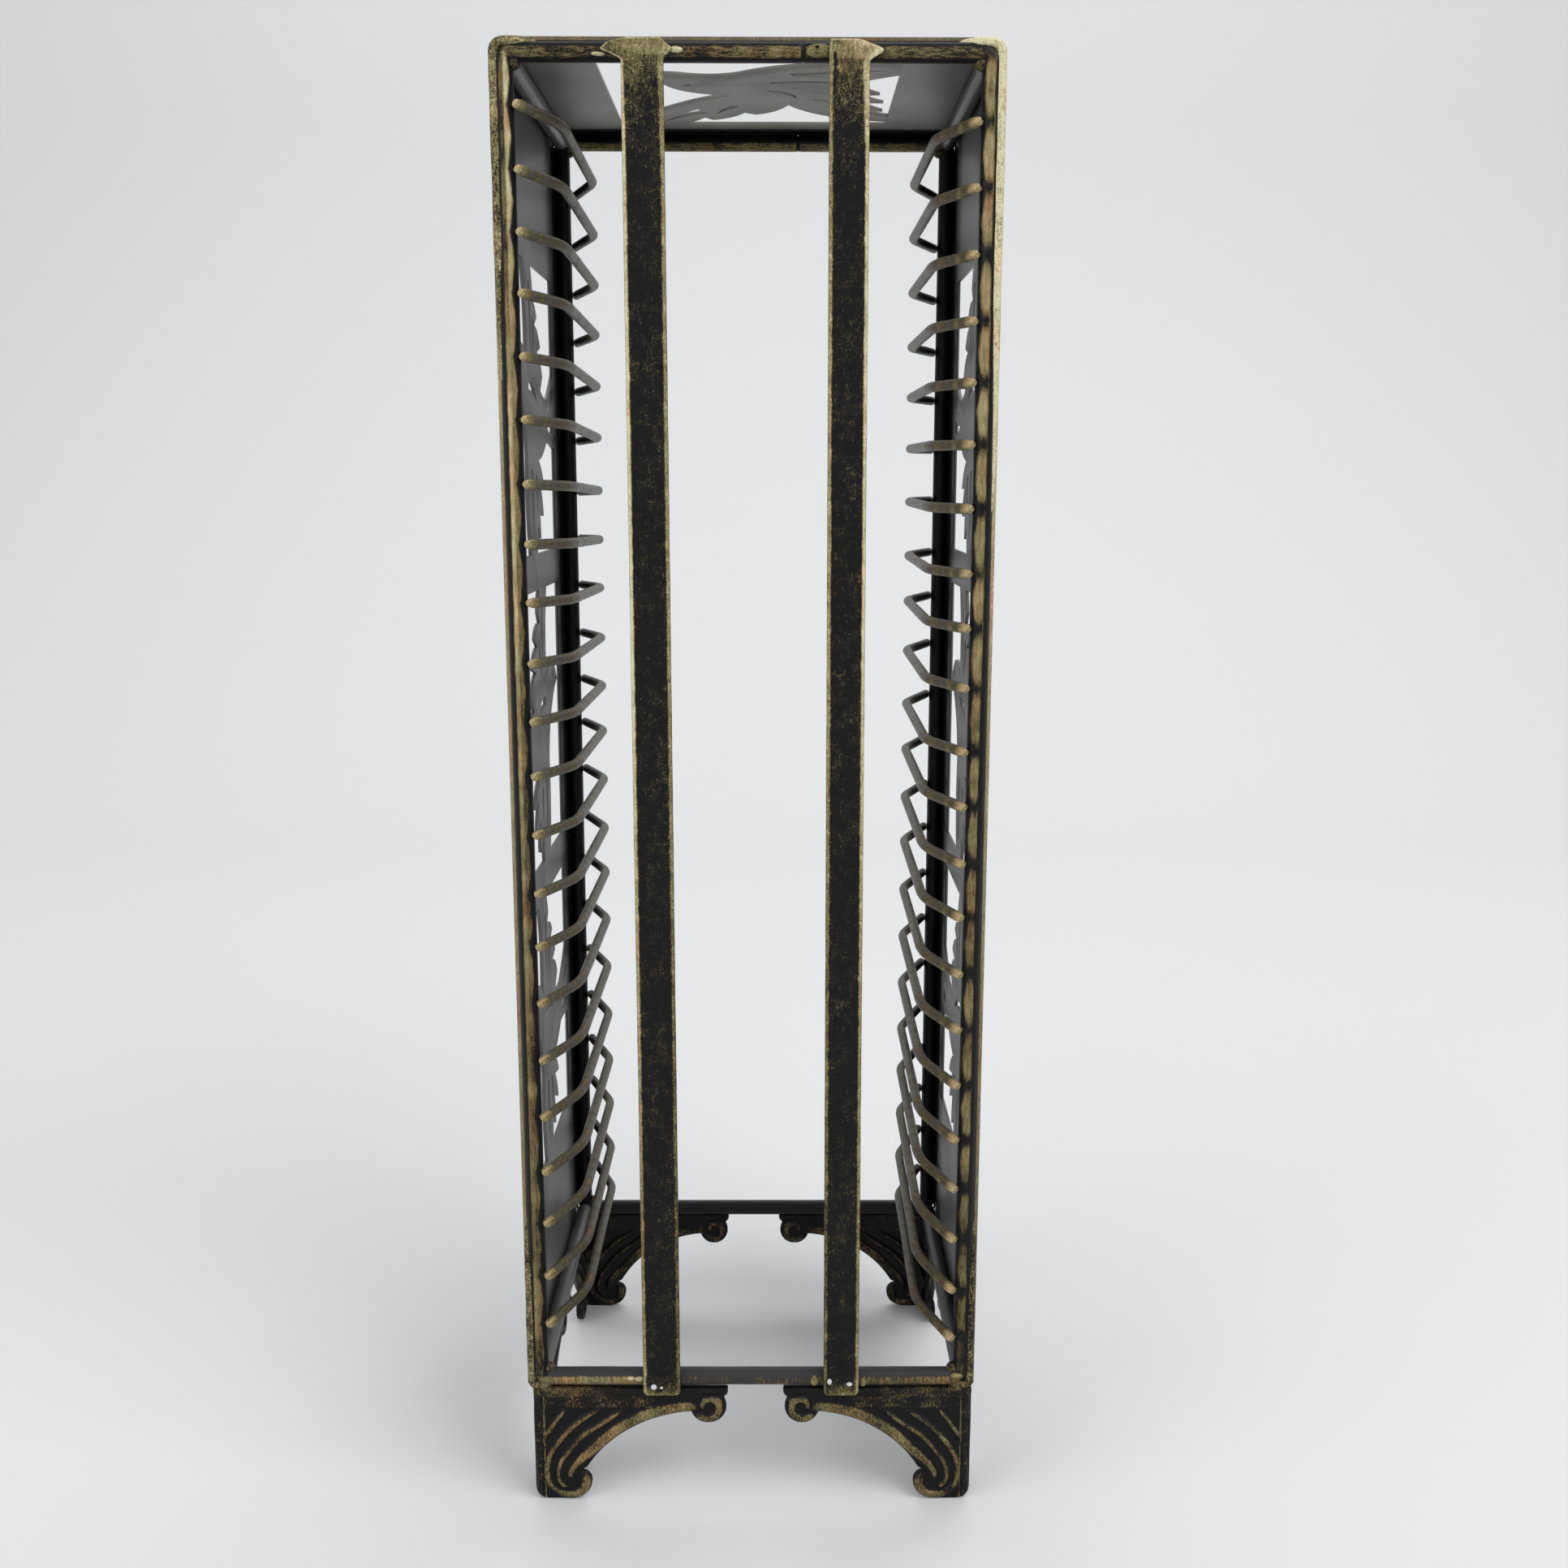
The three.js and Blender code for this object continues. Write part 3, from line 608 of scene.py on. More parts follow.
# What the sides away from the brush show: black with a trace of gold behind, and in front painted shade,
# blacker than the coat
BARE_SIDE_AND_SHADE = (0.1, -0.7)
UNDER_TOP_RAIL = 0.46
print("places with a tone on each post:", [len(rows) for rows in POST_TONES.values()])

# %% Gold at a spot of a ring
def hump(value, centre, half):
    """1 at the centre, falling smoothly to 0 at half a width away."""
    return max(1 - ((value - centre) / half) ** 2, 0.0)


def midway(z, levels):
    """0 where a wire is welded, 1 midway between two wires."""
    stops = [TOP_Z] + levels + [BOTTOM_Z]
    for above, below in zip(stops, stops[1:]):
        if below <= z <= above:
            return 1 - abs(2 * (z - below) / (above - below) - 1)
    return 0.0


def post_gold(side, z, outward, levels):
    """Brush gold: a bright crest next to the groove, then a duller band that bulges inward between the
    wires, with painted highlight there and painted shade at each wire and in the groove.
    """
    share = (z - BOTTOM_Z) / (TOP_Z - BOTTOM_Z)
    come_and_go = noise.noise(Vector((side * 7.3, 0, z / MM * 0.06)))
    crest = between(POST_TONES[side], share, 1) + 0.12 * come_and_go
    band = between(POST_TONES[side], share, 2) + 0.1 * come_and_go
    wobble = 0.05 * noise.noise(Vector((side, 2, z / MM * 0.2)))
    at_wire, bulge, under = BAND_REACH[side]
    open_by = midway(z, levels)
    if side > 0:
        band = under + (band - under) * min(1, 2.4 * open_by)
    inner = at_wire + bulge * math.sqrt(open_by) + wobble
    edge = clamp((BAND_OUTER + wobble - outward) / 0.16) * clamp((outward + inner) / 0.24)
    gold = band + (crest - band) * min(1, 1.8 * hump(outward, *CREST_AT[side]))
    below = GROOVE_BLACK_AND_SHADE if outward > 0 else under
    return below + (gold - below) * edge


def rail_gold(place, x, outward):
    level, tones, centre, half = RAILS[place]
    come_and_go = noise.noise(Vector((x / MM * 0.07, level / MM, 5)))
    strength = between(tones, (x + POST_X) / (2 * POST_X))
    return strength * min(1, 1.7 * hump(outward, centre, half)) + 0.1 * come_and_go


def gold_on_ring(spot, ring_y, faces_to, end):
    """How much gold the brush left at a spot of a ring whose outer face looks along faces_to; the front
    ring's inside takes painted shade instead.
    """
    side = 1 if spot.x > 0 else -1
    distances = {"post": abs(spot.x) - POST_X, "top": spot.z - TOP_Z, "bottom": BOTTOM_Z - spot.z}
    place = max(distances, key=distances.get)
    outward = distances[place] / ROD
    if place == "post":
        gold = post_gold(side, spot.z, outward, [levels[end] for levels in WIRE_LEVELS[side]])
    else:
        gold = rail_gold(place, spot.x, outward)
    away = UNDER_TOP_RAIL * min(1, 1.6 * hump(outward, -0.6, 0.6)) if place == "top" else BARE_SIDE_AND_SHADE[end]
    shade = clamp((spot.y - ring_y) * faces_to / ROD * 2.5 + 0.4)
    return gold * shade + away * (1 - shade)


print("gold midway on the left post:", round(post_gold(-1, 0.25, 0.1, [0.3, 0.2]), 2))

# %% The two rings and the four depth rods
SEAM_X = 17.4 * MM
SEAM_DEPTH = 0.93
SEAM_BLACK = -0.4
CORNER_BEND = 3.4 * MM
RAIL_HALF = ROD * 1.1
DRAWN_ROD = ROD * 0.99


def ring(name, node, y, seed, faces_to, end):
    seam_end = (SEAM_X, TOP_Z)
    bends = [(-POST_X, TOP_Z), (-POST_X, BOTTOM_Z), (POST_X, BOTTOM_Z), (POST_X, TOP_Z)]
    path = [(x, y, z) for x, z in [seam_end, *bends, seam_end]]
    piece = rod(name, path, ring_paint, seed, DRAWN_ROD, CORNER_BEND, 0.9 * MM, 40, 0.035)
    piece.data.materials.append(brushed_and_sheened_rail_paint)
    piece.data.materials.append(top_rail_paint)
    worn = []
    for vertex in piece.data.vertices:
        at_seam = vertex.co.z > TOP_Z - 2 * ROD and abs(vertex.co.x - SEAM_X) < 0.1 * MM
        worn.append(SEAM_BLACK if at_seam else gold_on_ring(vertex.co, y, faces_to, end))
        if at_seam:
            axis = Vector((vertex.co.x, y, TOP_Z))
            vertex.co = axis + (vertex.co - axis) * SEAM_DEPTH
    keep_worn(piece.data, worn)
    for face in piece.data.polygons:
        if abs(face.center.x) < POST_X - ROD:
            on_bottom = face.center.z < BOTTOM_Z + RAIL_HALF
            on_top = face.center.z > TOP_Z - RAIL_HALF
            face.material_index = 1 if on_bottom else 2 if on_top else 0
    hand_over(piece, node, node)


ring("rear_ring", "rear_frame", REAR_Y, 3, -1, 0)
ring("front_ring", "front_frame", FRONT_Y, 8, 1, 1)
for level, word in ((TOP_Z, "top"), (BOTTOM_Z, "bottom")):
    for side, paint in ((-1, left_rod_paint), (1, shaded_right_rod_paint)):
        node = f"{word}_rod_{WORDS[side]}"
        ends = [Vector((side * POST_X, corner.y, level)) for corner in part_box(node)]
        piece = rod("smooth_" + node, ends, paint, 5, DRAWN_ROD, 0.0, 3 * MM, 28, 0.02)
        hand_over(piece, "depth_rod", node)

# %% [markdown]
# The side and top sheets are pierced with birds, cut as silhouettes that stay joined to the window's
# frame at their wings and tails. The outlines are drawn in hundredths of half the window, as corners
# and curves, so one drawing serves three windows. Cutting follows the real order: a plain sheet,
# a window cut out of it, and the bird left standing, done here with Boolean modifiers.

# %% Bird outlines
SIDE_BIRD = [
    (-84, 26), (-70, 43, -54, 44), (-36, 43, -30, 30), (-22, 70, -42, 106), (-8, 106), (2, 98, 6, 84),
    (-2, 76), (16, 78, 24, 66), (12, 60), (28, 60, 38, 46), (22, 42), (38, 40, 46, 26), (34, 16),
    (56, 8, 68, 12), (86, 20, 106, 36), (106, -26), (80, -20, 60, -20), (40, -32, 18, -34),
    (34, -40, 42, -54), (22, -50), (34, -62, 36, -74), (16, -66), (22, -80, 20, -90), (6, -80),
    (6, -94, 0, -106), (-26, -106), (-40, -70, -34, -30), (-38, -4, -56, 10), (-66, 20, -84, 26),
]
SIDE_CUTS = [
    [(-22, 20), (2, 22, 16, 6), (4, 14, -22, 14)],
    [(-16, 86), (-10, 60, -12, 36), (-4, 60, -10, 88)],
    [(2, 66), (0, 50, -4, 36), (8, 48, 8, 62)],
    [(94, 22), (78, 6, 62, 2), (80, 0, 94, 14)],
    [(94, -2), (78, -8, 62, -8), (80, -16, 94, -12)],
    [(-20, -40), (-22, -66, -14, -90), (-12, -66, -12, -42)],
    [(0, -44), (4, -56, 4, -70), (10, -58, 8, -46)],
]
TOP_BIRD = [
    (-82, -42), (-62, -56, -42, -46), (-20, -38, -2, -54), (30, -76, 60, -72), (84, -72, 106, -84),
    (106, -52), (90, -44, 74, -30), (76, -6, 90, 6), (76, 8), (82, 20, 94, 30), (78, 30),
    (84, 44, 95, 56), (78, 52), (90, 68, 106, 74), (106, 90), (72, 84, 52, 68), (36, 56, 26, 36),
    (18, 60, 2, 66), (-6, 60), (-14, 78, -30, 84), (-36, 76), (-44, 94, -68, 106), (-90, 106),
    (-84, 72, -58, 44), (-36, 18, -14, 8), (-50, 4, -60, -24), (-70, -36, -82, -42),
]
TOP_CUTS = [
    [(12, -10), (30, -6, 32, 16), (25, 0, 10, -5)],
    [(12, -30), (40, -38, 66, -28), (40, -32, 14, -26)],
    [(26, -54), (56, -62, 92, -62), (60, -56, 28, -48)],
    [(44, 16), (60, 18, 70, 34), (56, 26, 44, 22)],
    [(-34, 60), (-52, 70, -68, 92), (-56, 68, -40, 50)],
    [(-10, 42), (-20, 50, -26, 64), (-24, 48, -14, 36)],
]
SIDE_ART = (SIDE_BIRD, SIDE_CUTS, (-62, 32))
TOP_ART = (TOP_BIRD, TOP_CUTS, (-44, -22))
SQUARE = [(-100, -100), (100, -100), (100, 100), (-100, 100)]
CURVE_STEPS = 9
EYE_RADIUS = 1.5 * MM
EYE_SIDES = 14


def drawn(table, centre, half_u, half_w):
    """Corner points of an outline: two numbers are a corner, four a curve's control and end."""
    points = [Vector(table[0]) / 100]
    for entry in table[1:]:
        if len(entry) == 2:
            points.append(Vector(entry) / 100)
            continue
        start, control, end = points[-1], Vector(entry[:2]) / 100, Vector(entry[2:]) / 100
        for step in range(1, CURVE_STEPS + 1):
            t = step / CURVE_STEPS
            points.append(start * (1 - t) ** 2 + control * 2 * t * (1 - t) + end * t * t)
    if (points[0] - points[-1]).length < 1e-6:
        points.pop()
    return [centre + Vector((p.x * half_u, p.y * half_w)) for p in points]


print("side bird outline has", len(drawn(SIDE_BIRD, Vector((0, 0)), 1, 1)), "points")

# %% Piercing and filing
TOOL_REACH = 1.5 * MM
FILED_EDGE = 0.18 * MM
RIM_DEPTH = 0.4 * MM
OUTSIDE_GOLD = 0.17
CUT_GOLD = 0.12


def cut(piece, tool):
    """Cut the tool out of the piece, then remove the tool."""
    apply_modifier(piece, "BOOLEAN", operation="DIFFERENCE", solver="EXACT", object=tool)
    bpy.data.objects.remove(tool)


def pierce(sheet, centre, half_u, half_w, art, place, low, high):
    """Cut a window into the sheet and leave the bird standing in it."""
    bird, cuts, eye = art

    def tool(name, points, reach):
        return prism(name, points, place, low - reach * TOOL_REACH, high + reach * TOOL_REACH)

    window = tool("window", drawn(SQUARE, centre, half_u, half_w), 1)
    standing = tool("standing", drawn(bird, centre, half_u, half_w), 2)
    for table in cuts:
        cut(standing, tool("slit", drawn(table, centre, half_u, half_w), 3))
    eye_centre = centre + Vector((eye[0] * half_u, eye[1] * half_w)) / 100
    cut(standing, tool("eye", arc(eye_centre, EYE_RADIUS, 0, 2 * math.pi, EYE_SIDES)[:-1], 3))
    cut(window, standing)
    cut(sheet, window)


def file_edges(sheet, paint):
    """Paint the sheet and round its cut edges a little, as a file would."""
    sheet.data.materials.append(paint)
    filed = {"width": FILED_EDGE, "segments": 2, "limit_method": "ANGLE", "angle_limit": math.radians(40)}
    apply_modifier(sheet, "BEVEL", use_clamp_overlap=True, **filed)
    round_shading(sheet, 30)


def brush_rims(sheet, rim_gold, is_outside, is_flat):
    """Gold on the sheet's two upright rims and its cuts, and a thin brushing on its outside."""
    mesh = sheet.data
    low_y = min(v.co.y for v in mesh.vertices)
    high_y = max(v.co.y for v in mesh.vertices)
    worn = [0.0] * len(mesh.loops)
    for face in mesh.polygons:
        at_rim = min(face.center.y - low_y, high_y - face.center.y) < RIM_DEPTH and abs(face.normal.y) > 0.5
        for corner in face.loop_indices:
            if at_rim:
                worn[corner] = rim_gold(mesh.vertices[mesh.loops[corner].vertex_index].co)
            elif not is_flat(face):
                worn[corner] = CUT_GOLD
            elif is_outside(face):
                worn[corner] = OUTSIDE_GOLD
    keep_worn(mesh, worn, "CORNER")


print("cut edges are filed by", round(FILED_EDGE / MM, 2), "mm")

# %% The side sheets
WINDOW = 104 * MM
WINDOW_PITCH = 117.5 * MM
WINDOW_LIFT = 4 * MM
# Per side: the gold of the sheet's rims at the foot and at the top
SIDE_RIM_GOLD = {-1: (0.62, 0.8), 1: (0.5, 0.92)}


def side_sheet(side, node):
    low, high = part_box(node)
    place = lambda p, depth: Vector((depth, p.x, p.y))
    middle, half = (low + high) / 2, (high - low) / 2
    outline = drawn(SQUARE, middle.yz, half.y, half.z)
    sheet = prism("bird_sheet_" + WORDS[side], outline, place, low.x, high.x)
    for step, facing in ((1, 1), (0, -1), (-1, 1)):
        centre = Vector((MIDDLE_Y, middle.z + WINDOW_LIFT + step * WINDOW_PITCH))
        pierce(sheet, centre, facing * WINDOW / 2, WINDOW / 2, SIDE_ART, place, low.x, high.x)
    file_edges(sheet, sheet_paint)
    outer_x = side * max(abs(low.x), abs(high.x))
    at_foot, at_top = SIDE_RIM_GOLD[side]
    rim_gold = lambda p: at_foot + (at_top - at_foot) * (p.z - low.z) / (high.z - low.z)
    on_outside = lambda f: abs(f.center.x - outer_x) < RIM_DEPTH
    brush_rims(sheet, rim_gold, on_outside, lambda f: abs(f.normal.x) > 0.7)
    hand_over(sheet, "panel", node)


side_sheet(-1, "left_panel")
side_sheet(1, "right_panel")

# %% The top sheet, rolled over the corner rods
TOP_WINDOW = (102 * MM, 105 * MM)
TOP_RIM_GOLD = 0.46
ROLL_STEPS = 14


def rolled_profile(inner, outer):
    """The sheet's end outline: flat between the corner rods, a quarter turn down at each end."""
    left, right, quarter = Vector((-POST_X, TOP_Z)), Vector((POST_X, TOP_Z)), math.pi / 2
    over = arc(left, outer, 2 * quarter, quarter, ROLL_STEPS) + arc(right, outer, quarter, 0, ROLL_STEPS)
    under = arc(right, inner, 0, quarter, ROLL_STEPS) + arc(left, inner, quarter, 2 * quarter, ROLL_STEPS)
    return over + under


top_low, top_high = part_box("top_panel")
outer_roll = top_high.z - TOP_Z
profile = rolled_profile(outer_roll - SHEET, outer_roll)
end_place = lambda p, depth: Vector((p.x, depth, p.y))
flat_place = lambda p, depth: Vector((p.x, p.y, depth))
top_sheet = prism("bird_sheet_top", profile, end_place, top_low.y, top_high.y)
half_u, half_w = (size / 2 for size in TOP_WINDOW)
pierce(top_sheet, Vector((0, MIDDLE_Y)), half_u, half_w, TOP_ART, flat_place, top_high.z - SHEET, top_high.z)
file_edges(top_sheet, top_sheet_paint)
flat_or_rolled = lambda f: abs(f.normal.z) > 0.7 or abs(f.center.x) > POST_X - 2 * ROD
brush_rims(top_sheet, lambda p: TOP_RIM_GOLD, lambda f: f.center.z > top_high.z - RIM_DEPTH, flat_or_rolled)
hand_over(top_sheet, "panel", "top_panel")

# %% [markdown]
# The two strips at the back are flat bar with rounded edges. They were sheared and brushed by hand,
# so their edges wander slightly. Each strip is a stack of rounded cross-sections, which lets its
# width change near the top, where it was melted onto the rail. The brush caught both edges, the
# flare and the lower end; the middle stayed black, with stray flecks and hairs from the bristles.

# %% The strips' shape
STRIP_STEP = 1.0 * MM
FLARE_STEPS = 24
EDGE_ROUND = 0.6 * MM
EDGE_WANDER = 0.06 * MM
STRIP_SET_BACK = 0.1 * MM
FOOT_INSET = 1.0 * MM
# How far from each rounded edge the front face has points, in millimetres
FRONT_MARKS = (0.35, 0.7, 1.0, 1.35, 1.8, 2.4, 3.4, 4.8)
# A flare's table holds the share of its height, then its left and right edges in half strip widths
LEFT_FLARE = [
    (0, -1, 1), (0.11, -1.12, 1.04), (0.2, -1.31, 1.09), (0.33, -1.58, 1.24), (0.43, -1.87, 1.36),
    (0.52, -1.965, 1.41), (0.67, -1.77, 1.25), (0.8, -1.62, 1.07), (0.86, -1.31, 1.0), (0.93, -1.0, 0.95),
    (1, -0.74, 0.88),
]
RIGHT_FLARE = [
    (0, -1, 1), (0.13, -1, 1.03), (0.236, -1, 1.165), (0.37, -1, 1.43), (0.475, -1, 1.65), (0.62, -1, 1.667),
    (0.7, -1, 1.486), (0.79, -1, 1.2), (0.86, -0.98, 0.964), (0.96, -0.95, 0.68), (1, -0.92, 0.4),
]


def section(left, right, front, back):
    """A rounded rectangle seen from above, with more points near the edges of its front."""
    r = EDGE_ROUND
    fit = MM * min(1, (right - left - 2 * r) / (2.2 * FRONT_MARKS[-1] * MM))
    corners = (right - r, front + r), (right - r, back - r), (left + r, back - r), (left + r, front + r)
    points = []
    for turn, corner in enumerate(corners):
        start = math.pi / 2 * (turn - 1)
        points += [tuple(p) for p in arc(Vector(corner), r, start, start + math.pi / 2, 3)]
    points += [(left + r + m * fit, front) for m in FRONT_MARKS]
    return points + [(right - r - m * fit, front) for m in reversed(FRONT_MARKS)]


print("a strip's section has", len(section(0, 13 * MM, 0, 2 * MM)), "points")

# %% The strips' gold
# Gold, and lengths in millimetres: each edge's strength, width and width at the top, and the flare
LEFT_LOOK = {
    "edges": ((0.95, 1.2, 0.8), (0.64, 1.2, 1.9)), "fade": 36, "flare": (0.42, 0.64), "flare height": 6.5,
    "slit": False,
}
RIGHT_LOOK = {
    "edges": ((0.66, 1.2, 1.1), (0.9, 1.15, 2.1)), "fade": 34, "flare": (0.42, 0.95), "flare height": 7.3,
    "slit": True,
}
BLACK_MIDDLE = 0.07
FLARE_TIP = 0.93
FLARE_TIP_GOLD = 0.8
FOOT_GOLD = 0.44
STRIP_SIDE_GOLD = 0.3
SLIT_BLACK = -0.1
# In millimetres: the gold edges' blur, where they widen below the flare, the gold foot, the dark slit
EDGE_BLUR = 0.55
WIDENS_OVER = 30
FOOT_BRUSHED = 9
SLIT_FROM_LEFT = (1.5, 2.3)
SLIT_LENGTH = 8
# Height above a strip's foot in millimetres, and how much of the edges' full gold is there
EDGE_TONES = [(0, 0.66), (60, 0.6), (160, 0.72), (270, 1.0), (360, 0.95), (460, 0.85)]


def strip_gold(x, left, right, below_flare, height, rise, look, seed):
    """Gold by the distance to each edge, flare and foot; below_flare and height are in millimetres."""
    from_left, from_right = (x - left) / MM, (right - x) / MM
    fade = max(0, 1 - below_flare / look["fade"])
    gold = BLACK_MIDDLE + 0.06 * noise.noise(Vector((seed, height * 0.05, x / MM * 0.2))) + 0.3 * fade ** 1.3
    upper = max(0, 1 - below_flare / WIDENS_OVER)
    for distance, (strength, width, top_width), lane in zip((from_left, from_right), look["edges"], (3, 7)):
        ragged = 1 + 0.16 * noise.noise(Vector((seed, height * 0.25, lane)))
        reach = (width + (top_width - width) * upper) * ragged
        rubbed = strength * between(EDGE_TONES, height)
        gold = max(gold, rubbed * clamp((reach + 0.4 - distance) / EDGE_BLUR))
    if rise > 0:
        across = clamp(from_left / max(from_left + from_right, 0.001))
        at_left, at_right = look["flare"]
        melted = (at_left + (at_right - at_left) * across ** 1.6) * min(1, rise * 4)
        gold = max(gold, melted + 0.1 * noise.noise(Vector((x / MM, height, seed)) * 0.35))
        if rise > FLARE_TIP:
            gold = max(gold, FLARE_TIP_GOLD)
    in_slit = SLIT_FROM_LEFT[0] < from_left < SLIT_FROM_LEFT[1] and below_flare < SLIT_LENGTH and rise < 0.5
    if look["slit"] and in_slit:
        gold = SLIT_BLACK
    return max(gold, FOOT_GOLD * max(0, 1 - height / FOOT_BRUSHED))


edge_gold = strip_gold(0, 0, 13 * MM, 200, 200, 0, LEFT_LOOK, 1)
print("gold on the left strip's left edge:", round(edge_gold, 2))

# %% The strips
def strip(name, node, foot_x, top_x, width, flare, look, seed):
    low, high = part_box(node)
    front = low.y + STRIP_SET_BACK
    flare_height = look["flare height"] * MM
    flare_z = high.z - flare_height
    heights = [low.z + STRIP_STEP * k for k in range(int((flare_z - low.z) / STRIP_STEP))]
    heights += [flare_z + flare_height * k / FLARE_STEPS for k in range(FLARE_STEPS + 1)]
    model = bmesh.new()
    worn = model.verts.layers.float.new(WORN)
    rows = []
    for z in heights:
        centre = (foot_x + (top_x - foot_x) * min((z - low.z) / (flare_z - low.z), 1)) * MM
        rise = max(0, (z - flare_z) / flare_height)
        inset = max(0, FOOT_INSET - (z - low.z))
        edges = []
        for column, lane, inward in ((1, 0, 1), (2, 9, -1)):
            wander = EDGE_WANDER * noise.noise(Vector((seed + lane, z / MM * 0.07, 0)))
            edges.append(centre + width / 2 * MM * between(flare, rise, column) + wander + inward * inset)
        rows.append([])
        for x, y in section(*edges, front, high.y):
            rows[-1].append(model.verts.new((x, y, z)))
            gold = strip_gold(x, *edges, (flare_z - z) / MM, (z - low.z) / MM, rise, look, seed)
            rows[-1][-1][worn] = STRIP_SIDE_GOLD if y > front + EDGE_ROUND * 0.55 else gold
    skin(model, rows)
    piece = from_bmesh(name, model)
    piece.data.materials.append(strip_paint)
    round_shading(piece, 40)
    hand_over(piece, "strip", node)


strip("flat_strip_left", "rear_strip_left", -32.2, -32.9, 13.4, LEFT_FLARE, LEFT_LOOK, 1.0)
strip("flat_strip_right", "rear_strip_right", 32.8, 31.8, 12.7, RIGHT_FLARE, RIGHT_LOOK, 5.0)

# %% [markdown]
# Forty-four wires carry the cases, 22 on each side. All wires of a side are bent alike, so one
# Geometry Nodes tree draws the wire once and sets it on a column of points. Each point holds its
# wire's tilt as an attribute, because the rows were welded by eye and slope a little.

# %% Geometry Nodes: a row of wires
WIRE_INPUTS = {
    "Geometry": "Geometry", "End": "Vector", "Bend": "Vector", "Far bend": "Vector", "Far end": "Vector",
    "Near bend radius": "Float", "Far bend radius": "Float", "Wire radius": "Float", "Sides": "Int",
    "Paint": "Material",
}
TILT = "tilt"
WIRE_STEP = 1.5 * MM
WIRE_WAVES = 160.0
# Shares of a wire's length, and the gold there: rubbed end, mottled arm, grey run, and a black far end that
# is painted shade
WIRE_TONES = [
    (0.0, 0.7), (0.018, 0.66), (0.03, 0.34), (0.17, 0.38), (0.3, 0.22), (0.76, 0.18), (0.86, -0.9),
    (1.0, -0.9),
]


def by_index(tree, kind, index, values):
    """The value that belongs to a point's index; None leaves it at zero."""
    switch = put(tree, "GeometryNodeIndexSwitch", {"Index": index}, data_type=kind)
    while len(switch.index_switch_items) < len(values):
        switch.index_switch_items.new()
    for k, value in enumerate(values):
        if value:
            tree.links.new(value, switch.inputs[k + 1])
    return switch.outputs[0]


def named(tree, name, kind):
    node = put(tree, "GeometryNodeInputNamedAttribute", {"Name": name}, data_type=kind)
    return node.outputs["Attribute"]


def wire_tree():
    tree, given = new_tree("row of wires", "GeometryNodeTree", WIRE_INPUTS, GEOMETRY)
    index = geo(tree, "InputIndex")
    corner = by_index(tree, "VECTOR", index, [given[k] for k in ("End", "Bend", "Far bend", "Far end")])
    line = geo(tree, "MeshLine", {"Count": 4})
    placed = geo(tree, "SetPosition", {"Geometry": line, "Position": corner})
    path = geo(tree, "MeshToCurve", {"Mesh": placed})
    bends = [None, given["Near bend radius"], given["Far bend radius"], None]
    radius = by_index(tree, "FLOAT", index, bends)
    bent = geo(tree, "FilletCurve", {"Curve": path, "Radius": radius, "Count": 12}, mode="POLY")
    turned = put(tree, "ShaderNodeCombineXYZ", {"X": named(tree, TILT, "FLOAT")})
    rotation = put(tree, "FunctionNodeEulerToRotation", {0: turned.outputs[0]}).outputs[0]
    column = {"Points": given["Geometry"], "Instance": bent, "Rotation": rotation}
    real = geo(tree, "RealizeInstances", {"Geometry": geo(tree, "InstanceOnPoints", column)})
    walked = geo(tree, "ResampleCurve", {"Curve": real, "Length": WIRE_STEP}, mode="LENGTH")
    share = put(tree, "GeometryNodeSplineParameter").outputs["Factor"]
    # A ramp holds no negative tone, so the gold goes through it halved and raised by a half
    shades = ramp(tree, share, [(place, (gold / 2 + 0.5,) * 3) for place, gold in WIRE_TONES])
    level = put(tree, "ShaderNodeSeparateXYZ", {0: shades}).outputs["X"]
    brushed = stored(tree, walked, WORN, maths(tree, "MULTIPLY_ADD", level, 2.0, -1.0), "FLOAT")
    even = ranged(tree, noisy(tree, WIRE_WAVES, 1.0), low=0.96, high=1.03)
    taper = ranged(tree, share, end=0.016, low=0.76)
    scale = maths(tree, "MULTIPLY", even, taper)
    sweep_round(tree, brushed, given["Wire radius"], given["Sides"], scale, given["Paint"])
    return tree


WIRE_TREE = wire_tree()
print("wire tree has", len(WIRE_TREE.nodes), "nodes")

# %% The wires of both sides
WIRE_CLEAR = 0.3 * MM
WIRE_INSET = 14.9 * MM
WIRE_END_INSET = 3.2 * MM
WIRE_FRONT_INSET = 3.1 * MM
WIRE_RUN = 24 * MM
NEAR_BEND = 45 * MM
FAR_BEND = 20 * MM
WIRE_END_X = POST_X - math.sqrt((ROD + WIRE_RADIUS + WIRE_CLEAR) ** 2 - WIRE_END_INSET ** 2)


def wire_row(side, nodes):
    levels = WIRE_LEVELS[side]
    reach = FRONT_Y - REAR_Y
    half = reach / 2
    end_x, run_x = side * WIRE_END_X, side * (POST_X - WIRE_INSET)
    tilts = [math.atan2(b - a, reach + 2 * WIRE_END_INSET) for a, b in levels]
    values = {
        "End": (end_x, -half - WIRE_END_INSET, 0), "Bend": (run_x, -half + WIRE_RUN, 0),
        "Far bend": (run_x, half - WIRE_RUN, 0), "Far end": (end_x, half + WIRE_FRONT_INSET, 0),
        "Near bend radius": NEAR_BEND, "Far bend radius": FAR_BEND, "Wire radius": WIRE_RADIUS * 0.985,
        "Sides": 16, "Paint": wire_paint,
    }
    points = [(0, MIDDLE_Y, (a + b) / 2) for a, b in levels]
    piece = grown("wires_" + WORDS[side], points, WIRE_TREE, values, kept=[(TILT, "FLOAT", "value", tilts)])
    hand_over(piece, "wire", *nodes)


for side, nodes in WIRES.items():
    wire_row(side, nodes)

